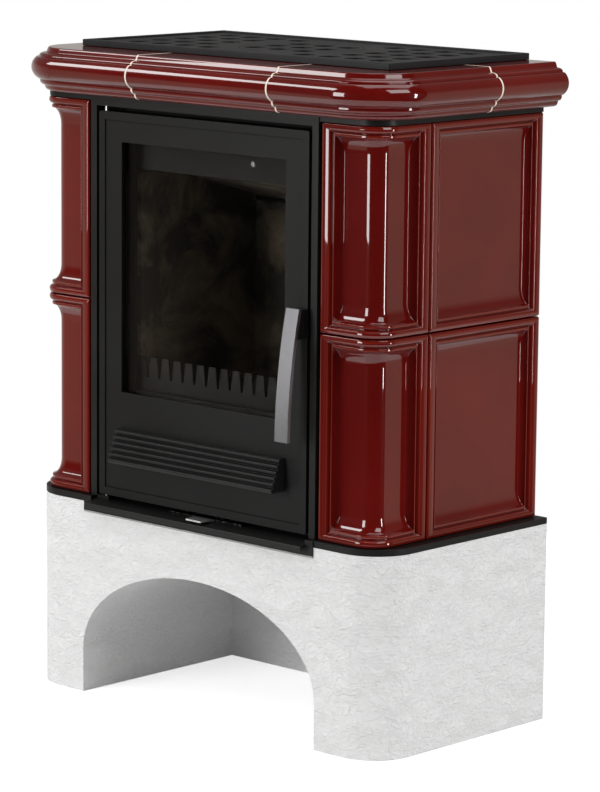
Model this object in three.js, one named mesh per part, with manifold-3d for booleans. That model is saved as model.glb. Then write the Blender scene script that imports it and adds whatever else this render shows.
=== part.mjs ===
// Tiled stove on a plastered plinth with an arched wood store.
// Millimetres, +Z up. While the pieces are made, Y = 0 is the front plane of the tiles and
// X = 0 the middle of the stove; the last lines centre the stove over its footprint.
import * as THREE from 'three';
import { mergeVertices } from 'three/addons/utils/BufferGeometryUtils.js';
import Module from 'manifold-3d';

const wasm = await Module();
wasm.setup();

// ---------------------------------------------------------------- driving dimensions

// Clearances
const seat = 0.3;
const slideFit = 0.4;

// Tiled body
const bodyDepth = 358;
const frontTileWidth = 111;
const frontTileGap = 4.5;
const tileCornerRadius = 40;
const tileRows = 2;
const tilePitch = 300;
const tileJoint = 0.8;
const cornerTileLeg = 111;
const tileBackDepth = 34;
const tilePocketDepth = 26;
const tilePocketInset = 14;
const cornerShaftDepth = 18;
const sideFieldDepth = 14;
const tileCoveHeight = 25.4;
const tileSideCoveWidth = 7.5;

// Plinth with its wood store
const plinthHeight = 297.6;
const plinthSideOverhang = 16;
const plinthFrontOverhang = 8;
const plinthRearOverhang = 6;
const plinthCornerRadius = 68;
const archWidth = 481;
const archSpringHeight = 69;
const archHeight = 210;
const plinthRearWall = 45;

// Carrier plate under the tiles
const carrierThickness = 9.1;
const carrierNotchGap = 1;
const carrierNotchDepth = 30;

// Cornice and the steel strip it stands on
const corniceCarrierThickness = 7.6;
const corniceCarrierInset = 1.5;
const corniceHeight = 65.3;
const corniceCornerRadius = 62;
const corniceInnerOffset = -60;
const corniceRearOverhang = 11;
const corniceJointWidth = 3;
const corniceJointInsetLeft = 109.5;
const corniceJointInsetRight = 69.5;
const corniceJointSideLeft = 185;
const corniceJointSideRight = 221;

// Cast top plate
const topPlateSideInset = 35;
const topPlateFront = 58;
const topPlateRearOverhang = 7;
const topPlateRimHeight = 9.7;
const topPlateRimWidth = 12;
const topPlateSink = 2.4;
const grillePitch = 49;
const grilleColumns = 11;
const grilleRows = 5;
const grilleOpening = 30;
const grilleOpeningRadius = 11;
const topCoverRadius = 93;
const topCoverGap = 0.6;
const topCoverLedge = 6;
const topCoverMargin = 5;

// Door
const doorWidth = 427;
const doorThickness = 28;
const doorCornerRadius = 3;
const doorBandWidth = 12;
const doorFieldSink = 1.6;
const doorWall = 6;
const doorStile = 46.2;
const doorBottomRail = 160.5;
const doorTopRail = 44;
const glassOverlap = 11;
const glassThickness = 4;
const glassPlay = 0.5;
const glassSealThickness = 2.4;
const glassSealWidth = 9;
const ropeChannelInset = 19;
const ropeChannelWidth = 7;
const ropeChannelDepth = 5;
const ropeProud = 5.4;
const lowerPocketRise = 34;
const lowerPocketToWindow = 26.5;
const retainerSheet = 2;
const retainerFlange = 7;
const retainerGrip = 8;
const retainerLength = 280;
const linerLap = 4;

// Front frame round the door
const doorSideGap = 5.5;
const doorHeadGap = 7.4;
const doorSillGap = 8.5;
const frameFace = 12.5;
const frameDepth = 30;
const frameHeadFace = 15;

// Hinge and latch
const hingeInset = 8.5;
const hingeY = 9;
const hingePinRadius = 4;
const hingePinInDoor = 13;
const hingePinInFrame = 9;
const hingeBlockInside = 10;
const hingeBlockFront = 8;
const hingeBlockBack = 12;
const hingeBlockGap = 2.5;
const spindleInset = 12.5;
const spindleRise = 310;
const spindleRadius = 4.5;
const spindleTail = 0.2;
const camHubRadius = 6.4;
const camThickness = 4;
const camReach = 14;
const camNoseHalf = 4;
const keeperWidth = 5;
const keeperHeight = 26;

// Handle
const handleWidth = 25;
const handleThickness = 6;
const handleLength = 190;
const handleAboveSpindle = 18;
const handleStandoff = 12;
const handleBow = 22;
const handleBowPower = 1.9;
const bracketHeight = 42;
const bracketInset = 1;
const bracketTopDrop = 1.5;

// Ribbed air hood on the door
const hoodOverhang = 1.7;
const hoodRise = 106;
const hoodHeight = 50;
const hoodTopProud = 6;
const hoodBottomProud = 24;
const hoodRibs = 6;
const hoodWall = 3;

// Ash sill and air slide
const sillInset = 8;
const sillLipReach = 21.5;
const sillBed = 5.6;
const sillLipDrop = 4.7;
const sillLipHeight = 12.5;
const apronOverlap = 5.5;
const apronDrop = 15.9;
const apronThickness = 1.8;
const slideLength = 150;
const slideDepth = 20;
const slideThickness = 2.4;
const slideTabRoot = 46;
const slideTabTip = 30;
const slideTabReach = 22;
const slideRestX = 8;
const slideTravel = 25;
const slideScrewSpacing = 74;
const slideScrewY = 13.6;
const slideScrewRadius = 2.5;
const slideScrewHeadRadius = 4.5;

// Welded firebox
const fireboxFront = 34.3;
const fireboxRearGap = 33;
const fireboxRise = 19;
const fireboxUnderTiles = 1.5;
const fireboxWall = 4;
const fireboxFaceSideLap = 3.5;
const fireboxFaceInset = 1;
const doorwaySideInset = 43.5;
const doorwayTopInset = 30;
const doorwayJamb = 30;
const hearthRise = 105;
const hearthThickness = 8;
const railWidth = 12;
const railHeight = 6;

// Fire bricks, grate and ash pan
const brickThickness = 27;
const brickPlay = 1;
const brickFrontGap = 8;
const floorBrickThickness = 25;
const rearBrickDrop = 165;
const airHoleMargin = 50;
const airHoleSpacing = 34;
const airHoleRadius = 5;
const airHoleRise = 190;
const baffleRise = 60;
const baffleThickness = 25;
const baffleFront = 110;
const grateWidth = 200;
const grateDepth = 170;
const grateThickness = 9;
const grateBars = 9;
const grateBarGap = 9;
const grateBorder = 12;
const grateLedge = 6;
const ashPanSideGap = 20;
const ashPanFrontGap = 12;
const ashPanRearGap = 34.7;
const ashPanHeight = 72;
const ashPanWall = 1.5;
const ashPanTaper = 4;
const bailHalf = 40;
const bailReach = 7;
const bailDrop = 30;
const bailHeight = 18;
const bailSheet = 2.5;
const airWashDrop = 86;
const airWashLap = 12;
const airWashShelf = 30;

// Log retainer
const combSideGap = 2;
const combThickness = 3;
const combRise = 10;
const combRailHeight = 27;
const combRailThickness = 5;
const combSlotRise = 47.3;
const combHeight = 78;
const combPitch = 24.5;
const combEndTooth = 9;
const combSlotWidthTop = 11;
const combSlotWidthBottom = 4;

// Flue
const flueRadius = 65;
const flueWall = 2;
const flueDrop = 73;
const flueFlange = 12;
const flueProud = 19;
const flueOpeningGap = 12;

// Sheet casing behind the tiles
const casingSheet = 2;
const casingGap = 7;
const casingFlange = 16;
const casingFrontGap = 8;
const rearPanelPlay = 2;
const rearPanelInset = 6;
const rearSlotCount = 9;
const rearSlotWidth = 8;
const rearSlotHeight = 60;
const rearSlotPitch = 40;
const rearSlotRise = 40;
const tileRailSize = 18;
const tileRailSheet = 3;

// ---------------------------------------------------------------- worked-out levels

// Widths, from the door outwards
const halfDoor = doorWidth / 2;
const windowWidth = doorWidth - 2 * doorStile;
const frameWidth = doorWidth + 2 * (doorSideGap + frameFace);
const bodyWidth = frameWidth + 2 * (frontTileGap + frontTileWidth);
const halfBody = bodyWidth / 2;
const sillWidth = frameWidth - 2 * sillInset;
const carrierNotchWidth = sillWidth + 2 * carrierNotchGap;
const corniceJointFrontLeft = corniceJointInsetLeft - frameWidth / 2;
const corniceJointFrontRight = frameWidth / 2 - corniceJointInsetRight;
const apronWidth = frameWidth + 2 * apronOverlap;
const topPlateWidth = bodyWidth - 2 * topPlateSideInset;
const hingeX = hingeInset - halfDoor;
const spindleX = halfDoor - spindleInset;
const hoodWidth = windowWidth + 2 * hoodOverhang;
const fireDoorwayWidth = doorWidth - 2 * doorwaySideInset;
const fireboxWidth = fireDoorwayWidth + 2 * doorwayJamb;
const fireboxFaceWidth = doorWidth + 2 * fireboxFaceSideLap;
const ashPanWidth = fireDoorwayWidth - 2 * ashPanSideGap;
const combWidth = fireDoorwayWidth - 2 * combSideGap;
const combSlots = Math.floor((combWidth - 2 * combEndTooth + combPitch - combSlotWidthTop)
  / combPitch);

// Depths, from the front plane of the tiles backwards
const plinthFrontY = -plinthFrontOverhang;
const plinthRearY = bodyDepth + plinthRearOverhang;
const corniceRearY = bodyDepth + corniceRearOverhang;
const topPlateRear = bodyDepth + topPlateRearOverhang;
const topPlateMidY = (topPlateFront + topPlateRear) / 2;
const fireboxRear = bodyDepth - fireboxRearGap;
const topOutletY = topPlateMidY;

// Heights, from the floor upwards
const carrierZ = plinthHeight + seat;
const carrierTop = carrierZ + carrierThickness;
const tileZ = carrierTop + seat;
const tileTop = tileZ + tileRows * tilePitch - tileJoint;
const corniceCarrierZ = tileTop + seat;
const corniceZ = corniceCarrierZ + corniceCarrierThickness + seat;
const corniceTop = corniceZ + corniceHeight;
const topPlateZ = corniceTop + seat;
const frameTop = corniceZ - seat;
const frameOpeningTop = frameTop - frameHeadFace;
const apronBottomZ = carrierZ - apronDrop;
const sillTopZ = carrierZ + sillBed;
const doorBottom = sillTopZ + doorSillGap;
const doorTop = frameOpeningTop - doorHeadGap;
const windowBottom = doorBottom + doorBottomRail;
const windowTop = doorTop - doorTopRail;
const lowerPocketBottom = doorBottom + lowerPocketRise;
const lowerPocketTop = windowBottom - lowerPocketToWindow;
const spindleZ = doorBottom + spindleRise;
const handleTop = spindleZ + handleAboveSpindle;
const handleBottom = handleTop - handleLength;
const hoodTop = doorBottom + hoodRise;
const hoodBottom = hoodTop - hoodHeight;
const fireboxBottom = doorBottom + fireboxRise;
const fireboxTop = tileTop - fireboxUnderTiles;
const fireboxFaceBottom = doorBottom + fireboxFaceInset;
const fireboxFaceTop = doorTop + fireboxFaceInset;
const fireDoorwayTop = doorTop - doorwayTopInset;
const hearthZ = fireboxBottom + hearthRise;
const rearBrickTop = fireboxTop - rearBrickDrop;
const baffleFrontZ = rearBrickTop + baffleRise;
const airWashBottom = doorTop - airWashDrop;
const combBottom = hearthZ + combRise;
const combRailTop = combBottom + combRailHeight;
const combSlotBottom = combBottom + combSlotRise;
const combTop = combBottom + combHeight;
const flueHeight = fireboxTop - flueDrop;

// ---------------------------------------------------------------- geometry helpers

// Signed volume of a closed indexed geometry: negative where its faces point inwards.
function signedVolume(geometry) {
  const p = geometry.attributes.position;
  const index = geometry.index.array;
  const a = new THREE.Vector3();
  const b = new THREE.Vector3();
  const c = new THREE.Vector3();
  let sum = 0;
  for (let i = 0; i < index.length; i += 3) {
    a.fromBufferAttribute(p, index[i]);
    b.fromBufferAttribute(p, index[i + 1]);
    c.fromBufferAttribute(p, index[i + 2]);
    sum += a.dot(b.cross(c));
  }
  return sum / 6;
}

function facingOut(geometry) {
  if (signedVolume(geometry) < 0) {
    const index = geometry.index.array;
    for (let i = 0; i < index.length; i += 3) {
      [index[i], index[i + 1]] = [index[i + 1], index[i]];
    }
  }
  geometry.computeVertexNormals();
  return geometry;
}

// Skin through rings of points, closed by the same cap triangles at both ends.
function loft(rings, capTriangles) {
  const count = rings[0].length;
  const index = [];
  for (let r = 0; r < rings.length - 1; r++) {
    for (let i = 0; i < count; i++) {
      const next = (i + 1) % count;
      const here = r * count;
      const there = here + count;
      index.push(here + i, here + next, there + next);
      index.push(here + i, there + next, there + i);
    }
  }
  const last = (rings.length - 1) * count;
  for (const [a, b, c] of capTriangles) {
    index.push(c, b, a);
    index.push(last + a, last + b, last + c);
  }
  const geometry = new THREE.BufferGeometry();
  const positions = rings.flat().flatMap((point) => point.toArray());
  geometry.setAttribute('position', new THREE.Float32BufferAttribute(positions, 3));
  geometry.setIndex(index);
  return facingOut(geometry);
}

const extrude = (shape, depth, curveSegments = 6) =>
  new THREE.ExtrudeGeometry(shape, { depth, bevelEnabled: false, curveSegments });

// A plan outline (x, y) raised from z0 to z1.
const raised = (shape, z0, z1, curveSegments) =>
  extrude(shape, z1 - z0, curveSegments).translate(0, 0, z0);

// A front outline (x, z) carried from y0 back to y1.
const carriedBack = (shape, y0, y1, curveSegments) =>
  extrude(shape, y1 - y0, curveSegments).rotateX(Math.PI / 2).translate(0, y1, 0);

// A side outline (y, z) carried from x0 across to x1.
const sideToX = new THREE.Matrix4().makeBasis(
  new THREE.Vector3(0, 1, 0), new THREE.Vector3(0, 0, 1), new THREE.Vector3(1, 0, 0));
const carriedAcross = (shape, x0, x1, curveSegments) =>
  extrude(shape, x1 - x0, curveSegments).applyMatrix4(sideToX).translate(x0, 0, 0);

const block = (x0, x1, y0, y1, z0, z1) =>
  new THREE.BoxGeometry(x1 - x0, y1 - y0, z1 - z0)
    .translate((x0 + x1) / 2, (y0 + y1) / 2, (z0 + z1) / 2);

const upright = (radius, x, y, z0, z1, sides = 20) =>
  new THREE.CylinderGeometry(radius, radius, z1 - z0, sides)
    .rotateX(Math.PI / 2).translate(x, y, (z0 + z1) / 2);

const lyingAlongY = (radius, x, z, y0, y1, sides = 20) =>
  new THREE.CylinderGeometry(radius, radius, y1 - y0, sides)
    .translate(x, (y0 + y1) / 2, z);

function outline(points) {
  return new THREE.Shape(points.map(([x, y]) => new THREE.Vector2(x, y)));
}

function roundedRect(x0, x1, y0, y1, radius) {
  const shape = new THREE.Shape();
  shape.moveTo(x0 + radius, y0);
  shape.lineTo(x1 - radius, y0);
  shape.absarc(x1 - radius, y0 + radius, radius, -Math.PI / 2, 0);
  shape.lineTo(x1, y1 - radius);
  shape.absarc(x1 - radius, y1 - radius, radius, 0, Math.PI / 2);
  shape.lineTo(x0 + radius, y1);
  shape.absarc(x0 + radius, y1 - radius, radius, Math.PI / 2, Math.PI);
  shape.lineTo(x0, y0 + radius);
  shape.absarc(x0 + radius, y0 + radius, radius, Math.PI, 1.5 * Math.PI);
  return shape;
}

const rect = (x0, x1, y0, y1) => outline([[x0, y0], [x1, y0], [x1, y1], [x0, y1]]);

function circleHole(x, y, radius) {
  const path = new THREE.Path();
  path.absarc(x, y, radius, 0, 2 * Math.PI);
  return path;
}

// ---------------------------------------------------------------- solids to cut and join

function toSolid(geometry) {
  const bare = geometry.clone();
  bare.deleteAttribute('normal');
  bare.deleteAttribute('uv');
  const merged = mergeVertices(bare, 1e-4);
  return new wasm.Manifold(new wasm.Mesh({
    numProp: 3,
    vertProperties: new Float32Array(merged.attributes.position.array),
    triVerts: new Uint32Array(merged.index.array),
  }));
}

function toGeometry(solid) {
  const mesh = solid.getMesh();
  const geometry = new THREE.BufferGeometry();
  geometry.setAttribute('position', new THREE.Float32BufferAttribute(mesh.vertProperties, 3));
  geometry.setIndex(new THREE.Uint32BufferAttribute(mesh.triVerts, 1));
  geometry.computeVertexNormals();
  return geometry;
}

// One body, joined from the pieces to add and cut by the pieces to take away.
function carve(add, takeAway = []) {
  let solid = toSolid(add[0]);
  for (const piece of add.slice(1)) solid = solid.add(toSolid(piece));
  for (const piece of takeAway) solid = solid.subtract(toSolid(piece));
  return toGeometry(solid);
}

// ---------------------------------------------------------------- materials

const finish = (color, roughness, metalness) =>
  () => new THREE.MeshStandardMaterial({ color, roughness, metalness });

const glaze = finish(0x5a0d0c, 0.08, 0);
const grout = finish(0xf2e3cc, 0.8, 0);
const plaster = finish(0xf0f0ee, 0.9, 0);
const blackSteel = finish(0x2c2c2b, 0.5, 0.6);
const castBlack = finish(0x1d1e1f, 0.55, 0.6);
const brushedSteel = finish(0xc4c4c2, 0.28, 1);
const brightSteel = finish(0xd0d0d0, 0.2, 1);
const boilerPlate = finish(0x3a3836, 0.7, 0.5);
const ropeGrey = finish(0x55524d, 0.95, 0);
const fireClay = finish(0xb9a888, 0.95, 0);
const galvanised = finish(0x8c9093, 0.45, 0.8);

function clearGlass() {
  const material = new THREE.MeshStandardMaterial({ color: 0x1a1a1a, roughness: 0.03 });
  material.transparent = true;
  material.opacity = 0.3;
  return material;
}

const stove = new THREE.Group();

function place(parent, name, geometry, material) {
  const mesh = new THREE.Mesh(geometry, material());
  mesh.name = name;
  parent.add(mesh);
}

// ---------------------------------------------------------------- plinth

// Plan of a slab with round front corners, wider and deeper than the tiled body.
function plinthPlan() {
  const x1 = halfBody + plinthSideOverhang;
  const r = plinthCornerRadius;
  const plan = new THREE.Shape();
  plan.moveTo(-x1, plinthRearY);
  plan.lineTo(-x1, plinthFrontY + r);
  plan.absarc(-x1 + r, plinthFrontY + r, r, Math.PI, 1.5 * Math.PI);
  plan.lineTo(x1 - r, plinthFrontY);
  plan.absarc(x1 - r, plinthFrontY + r, r, -Math.PI / 2, 0);
  plan.lineTo(x1, plinthRearY);
  return plan;
}

// Wood store: upright sides to the springing line, then half an ellipse.
function archShape() {
  const half = archWidth / 2;
  const shape = new THREE.Shape();
  shape.moveTo(half, -1);
  shape.lineTo(half, archSpringHeight);
  shape.absellipse(0, archSpringHeight, half, archHeight - archSpringHeight, 0, Math.PI);
  shape.lineTo(-half, -1);
  return shape;
}

function plinth() {
  const body = raised(plinthPlan(), 0, plinthHeight, 12);
  const store = carriedBack(archShape(), plinthFrontY - 1, plinthRearY - plinthRearWall, 36);
  return carve([body], [store]);
}

function carrierPlate() {
  const plate = raised(plinthPlan(), carrierZ, carrierTop, 12);
  const half = carrierNotchWidth / 2;
  const notch = block(-half, half, plinthFrontY - 1, carrierNotchDepth, carrierZ - 1, carrierTop + 1);
  return carve([plate], [notch]);
}

// ---------------------------------------------------------------- stove tiles

// Moulding of a tile edge, from the joint inwards: a bead, a quirk, a fillet and a cove.
// Each step is [inset at the ends, inset at top and bottom, depth behind the tile plane].
function mouldingSteps(fieldDepth) {
  const steps = [
    [0, 0, 4.2],
    [1.2, 1.3, 1.2],
    [4, 5.2, 0],
    [14.5, 9, 0.9],
    [17, 10.9, 3.4],
    [18.2, 11.8, 6.2],
    [19.8, 13, 6.2],
    [20.6, 14, 4.3],
    [22.5, 17.6, 4.2],
  ];
  const [endInset, topInset, startDepth] = steps[steps.length - 1];
  const coveSteps = 5;
  for (let i = 1; i <= coveSteps; i++) {
    const angle = (i / coveSteps) * (Math.PI / 2);
    steps.push([
      endInset + tileSideCoveWidth * (1 - Math.cos(angle)),
      topInset + tileCoveHeight * (1 - Math.cos(angle)),
      startDepth + (fieldDepth - startDepth) * Math.sin(angle),
    ]);
  }
  return steps;
}

// A tile follows a path in plan: path(depth, inset) gives its points at that depth behind
// the tile plane, shortened by the inset at both ends.
function tile(path, z0, fieldDepth) {
  const steps = [
    [tilePocketInset, tilePocketInset, tilePocketDepth],
    [tilePocketInset, tilePocketInset, tileBackDepth],
    [0, 0, tileBackDepth],
    ...mouldingSteps(fieldDepth),
  ];
  const z1 = z0 + tilePitch - tileJoint;
  const rings = steps.map(([endInset, topInset, depth]) => {
    const row = path(depth, endInset);
    const bottom = row.map((p) => new THREE.Vector3(p.x, p.y, z0 + topInset));
    const top = row.map((p) => new THREE.Vector3(p.x, p.y, z1 - topInset));
    return [...bottom, ...top.reverse()];
  });
  const count = rings[0].length;
  const cap = [];
  for (let i = 0; i < count / 2 - 1; i++) {
    const above = count - 1 - i;
    cap.push([i, i + 1, above], [i + 1, above - 1, above]);
  }
  return loft(rings, cap);
}

// Corner tile: one leg beside the front frame, a round corner and one leg on the side.
const frontTileX = frameWidth / 2 + frontTileGap;

function cornerPath(side) {
  const arcSteps = 8;
  return (depth, inset) => {
    const centreX = halfBody - tileCornerRadius;
    const radius = tileCornerRadius - depth;
    const points = [new THREE.Vector2(side * (frontTileX + inset), depth)];
    for (let i = 0; i <= arcSteps; i++) {
      const angle = (i / arcSteps) * (Math.PI / 2);
      points.push(new THREE.Vector2(
        side * (centreX + radius * Math.sin(angle)),
        tileCornerRadius - radius * Math.cos(angle)));
    }
    points.push(new THREE.Vector2(
      side * (halfBody - depth), cornerTileLeg - tileJoint / 2 - inset));
    return points;
  };
}

// Side tile: flat, from the corner tile to the rear edge.
function sidePath(side) {
  return (depth, inset) => [
    new THREE.Vector2(side * (halfBody - depth), cornerTileLeg + tileJoint / 2 + inset),
    new THREE.Vector2(side * (halfBody - depth), bodyDepth - inset),
  ];
}

function addTiles(parent) {
  const rowNames = ['lower', 'upper'];
  const sides = [[-1, 'left'], [1, 'right']];
  for (let row = 0; row < tileRows; row++) {
    const z0 = tileZ + row * tilePitch;
    for (const [side, sideName] of sides) {
      const name = `${sideName}_${rowNames[row] ?? row}`;
      place(parent, `corner_tile_${name}`, tile(cornerPath(side), z0, cornerShaftDepth), glaze);
      place(parent, `side_tile_${name}`, tile(sidePath(side), z0, sideFieldDepth), glaze);
    }
  }
}

// ---------------------------------------------------------------- cornice

// Half profile of the cornice: x is the distance out from the tile plane, y the height.
function corniceSection() {
  const z = corniceZ;
  const top = corniceTop;
  const path = new THREE.Path();
  path.moveTo(corniceInnerOffset, z);
  path.lineTo(8.5, z);
  path.absellipse(8.5, z + 7, 7, 6.5, -Math.PI / 2, 0);
  path.lineTo(16.5, z + 9);
  path.absellipse(16.5, z + 15.3, 6.5, 6.3, -Math.PI / 2, 0);
  path.lineTo(22.6, z + 17.2);
  path.absellipse(13, z + 35.3, 22.8, 20.4, -Math.PI * 0.35, Math.PI * 0.27);
  path.lineTo(23.4, top - 14);
  path.absellipse(15.5, top - 13.2, 8.4, 4.8, 0, Math.PI / 2);
  path.lineTo(13, top - 7.8);
  path.lineTo(10.6, top - 1.4);
  path.lineTo(9.2, top);
  path.lineTo(corniceInnerOffset, top);
  const points = path.getPoints(3);
  return points.filter((p, i) => i === 0 || p.distanceTo(points[i - 1]) > 0.05);
}

// The cornice runs along the tile plane: left side forwards, front, right side back.
const sideRun = corniceRearY - corniceCornerRadius;
const cornerRun = (Math.PI / 2) * corniceCornerRadius;
const frontRun = 2 * (halfBody - corniceCornerRadius);
const totalRun = 2 * sideRun + 2 * cornerRun + frontRun;

// Place on that line at a distance from its left rear end, with the outward direction.
function corniceStation(distance) {
  const r = corniceCornerRadius;
  if (distance <= sideRun) return station(-halfBody, corniceRearY - distance, Math.PI);
  if (distance < sideRun + cornerRun) {
    const angle = Math.PI + (distance - sideRun) / r;
    return station(-halfBody + r + r * Math.cos(angle), r + r * Math.sin(angle), angle);
  }
  if (distance <= sideRun + cornerRun + frontRun) {
    return station(-halfBody + r + (distance - sideRun - cornerRun), 0, 1.5 * Math.PI);
  }
  const mirrored = corniceStation(totalRun - distance);
  return station(-mirrored.x, mirrored.y, Math.PI - mirrored.angle);
}

function station(x, y, angle) {
  return { x, y, angle };
}

const cornerSteps = 8;

function corniceStations(from, to) {
  const distances = [from, to];
  for (const start of [sideRun, totalRun - sideRun - cornerRun]) {
    for (let i = 0; i <= cornerSteps; i++) {
      const distance = start + (cornerRun * i) / cornerSteps;
      if (distance > from && distance < to) distances.push(distance);
    }
  }
  return distances.sort((a, b) => a - b).map(corniceStation);
}

function corniceRun(section, from, to) {
  const rings = corniceStations(from, to).map(({ x, y, angle }) => section.map((p) =>
    new THREE.Vector3(x + p.x * Math.cos(angle), y + p.x * Math.sin(angle), p.y)));
  return loft(rings, THREE.ShapeUtils.triangulateShape(section, []));
}

function addCornice(parent) {
  const section = corniceSection();
  const frontStart = sideRun + cornerRun - (-halfBody + corniceCornerRadius);
  const joints = [
    corniceRearY - corniceJointSideLeft,
    frontStart + corniceJointFrontLeft,
    frontStart + corniceJointFrontRight,
    totalRun - (corniceRearY - corniceJointSideRight),
  ];
  const half = corniceJointWidth / 2;
  const names = ['left_rear', 'left_corner', 'front', 'right_corner', 'right_rear'];
  names.forEach((name, i) => {
    const from = i === 0 ? 0 : joints[i - 1] + half;
    const to = i === joints.length ? totalRun : joints[i] - half;
    place(parent, `cornice_${name}`, corniceRun(section, from, to), glaze);
  });
  const jointNames = ['left_side', 'front_left', 'front_right', 'right_side'];
  jointNames.forEach((name, i) => {
    const from = joints[i] - half + seat;
    const to = joints[i] + half - seat;
    place(parent, `cornice_joint_${name}`, corniceRun(section, from, to), grout);
  });
}

// Flat steel on top of the tiles that the cornice stands on, open at the rear.
function corniceCarrier() {
  const x1 = halfBody - corniceCarrierInset;
  const y0 = corniceCarrierInset;
  const r = tileCornerRadius - corniceCarrierInset;
  const inner = halfBody + corniceInnerOffset;
  const frameHalf = frameWidth / 2 + seat;
  const plan = new THREE.Shape();
  plan.moveTo(-x1, bodyDepth);
  plan.lineTo(-x1, y0 + r);
  plan.absarc(-x1 + r, y0 + r, r, Math.PI, 1.5 * Math.PI);
  plan.lineTo(-frameHalf, y0);
  plan.lineTo(-frameHalf, frameDepth + seat);
  plan.lineTo(frameHalf, frameDepth + seat);
  plan.lineTo(frameHalf, y0);
  plan.lineTo(x1 - r, y0);
  plan.absarc(x1 - r, y0 + r, r, -Math.PI / 2, 0);
  plan.lineTo(x1, bodyDepth);
  plan.lineTo(inner, bodyDepth);
  plan.lineTo(inner, fireboxFront - seat);
  plan.lineTo(-inner, fireboxFront - seat);
  plan.lineTo(-inner, bodyDepth);
  return raised(plan, corniceCarrierZ, corniceCarrierZ + corniceCarrierThickness, 8);
}

// ---------------------------------------------------------------- cast top plate

// Centres of the grille openings, which the ring round the cover leaves out.
function grilleCentres() {
  const centres = [];
  for (let column = 0; column < grilleColumns; column++) {
    for (let row = 0; row < grilleRows; row++) {
      const x = (column - (grilleColumns - 1) / 2) * grillePitch;
      const y = topPlateMidY + (row - (grilleRows - 1) / 2) * grillePitch;
      centres.push(new THREE.Vector2(x, y));
    }
  }
  return centres;
}

function grilleHole(centre) {
  const half = grilleOpening / 2;
  const { x, y } = centre;
  const shape = roundedRect(x - half, x + half, y - half, y + half, grilleOpeningRadius);
  return new THREE.Path(shape.getPoints(1));
}

const coverCentre = new THREE.Vector2(0, topPlateMidY);
const holeReach = grilleOpening * 0.6;

function topPlate() {
  const half = topPlateWidth / 2;
  const top = topPlateZ + topPlateRimHeight;
  const field = rect(-half, half, topPlateFront, topPlateRear);
  const seatRadius = topCoverRadius + topCoverGap;
  for (const centre of grilleCentres()) {
    if (centre.distanceTo(coverCentre) > seatRadius + topCoverMargin + holeReach) {
      field.holes.push(grilleHole(centre));
    }
  }
  field.holes.push(circleHole(coverCentre.x, coverCentre.y, seatRadius - topCoverLedge));
  const rim = roundedRect(-half, half, topPlateFront, topPlateRear, 2);
  const w = topPlateRimWidth;
  rim.holes.push(new THREE.Path(roundedRect(-half + w, half - w,
    topPlateFront + w, topPlateRear - w, 5).getPoints(2)));
  const seatCut = upright(seatRadius, coverCentre.x, coverCentre.y,
    topPlateZ + topPlateRimHeight / 2 - seat, top + 1, 48);
  return carve(
    [raised(field, topPlateZ, top - topPlateSink, 6), raised(rim, topPlateZ, top, 2)],
    [seatCut]);
}

function topCover() {
  const plan = new THREE.Shape();
  plan.absarc(coverCentre.x, coverCentre.y, topCoverRadius, 0, 2 * Math.PI);
  for (const centre of grilleCentres()) {
    if (centre.distanceTo(coverCentre) + holeReach < topCoverRadius - topCoverMargin) {
      plan.holes.push(grilleHole(centre));
    }
  }
  const top = topPlateZ + topPlateRimHeight - topPlateSink;
  return raised(plan, topPlateZ + topPlateRimHeight / 2, top, 24);
}

// ---------------------------------------------------------------- front frame and sill

function frontFrame() {
  const half = frameWidth / 2;
  const inner = half - frameFace;
  const shape = outline([
    [-half, tileZ], [-inner, tileZ], [-inner, frameOpeningTop],
    [inner, frameOpeningTop], [inner, tileZ], [half, tileZ], [half, frameTop], [-half, frameTop],
  ]);
  const pinHole = upright(hingePinRadius + slideFit, hingeX, hingeY,
    frameOpeningTop - 1, frameOpeningTop + hingePinInFrame + seat);
  return carve([carriedBack(shape, 0, frameDepth)], [pinHole]);
}

// Sill that catches ash: a flat bed, a sloped lip in front and an apron over the plinth.
function sill() {
  const half = sillWidth / 2;
  const apronBack = plinthFrontY - seat;
  const apronFront = apronBack - apronThickness;
  const lipTop = sillTopZ - sillLipDrop;
  const section = outline([
    [carrierNotchDepth - seat, carrierZ], [carrierNotchDepth - seat, sillTopZ], [0, sillTopZ],
    [-sillLipReach + 1, lipTop], [-sillLipReach, lipTop - 2],
    [-sillLipReach + 1, sillTopZ - sillLipHeight], [-sillLipReach + 3, sillTopZ - sillLipHeight],
    [-sillLipReach + 3.4, lipTop - 3.4], [apronFront, lipTop - 3], [apronFront, apronBottomZ],
    [apronBack, apronBottomZ], [apronBack, carrierZ],
  ]);
  const apronHalf = apronWidth / 2;
  const ears = [-1, 1].map((side) => {
    const [near, far] = [side * (half - 2), side * apronHalf].sort((a, b) => a - b);
    return block(near, far, apronFront, apronBack, apronBottomZ, carrierTop);
  });
  return carve([
    carriedAcross(section, -half + seat, half - seat),
    block(-apronHalf, apronHalf, apronFront, apronBack, apronBottomZ, lipTop - 3),
    ...ears,
  ]);
}

// Slotted slide under the door that meters the air, moved by its tab.
function airSlide() {
  const y0 = slideScrewY - slideDepth / 2;
  const y1 = slideScrewY + slideDepth / 2;
  const half = slideLength / 2;
  const plan = outline([
    [-half, y0], [-slideTabRoot / 2, y0], [-slideTabTip / 2, -slideTabReach],
    [slideTabTip / 2, -slideTabReach], [slideTabRoot / 2, y0], [half, y0],
    [half, y1], [-half, y1],
  ]);
  const slotHalf = slideTravel + slideScrewRadius + slideFit;
  for (const side of [-1, 1]) {
    const x = (side * slideScrewSpacing) / 2 - slideRestX;
    const slot = roundedRect(x - slotHalf, x + slotHalf,
      slideScrewY - slideScrewRadius - slideFit, slideScrewY + slideScrewRadius + slideFit,
      slideScrewRadius);
    plan.holes.push(new THREE.Path(slot.getPoints(3)));
  }
  const z0 = sillTopZ + seat;
  return raised(plan, z0, z0 + slideThickness).translate(slideRestX, 0, 0);
}

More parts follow.
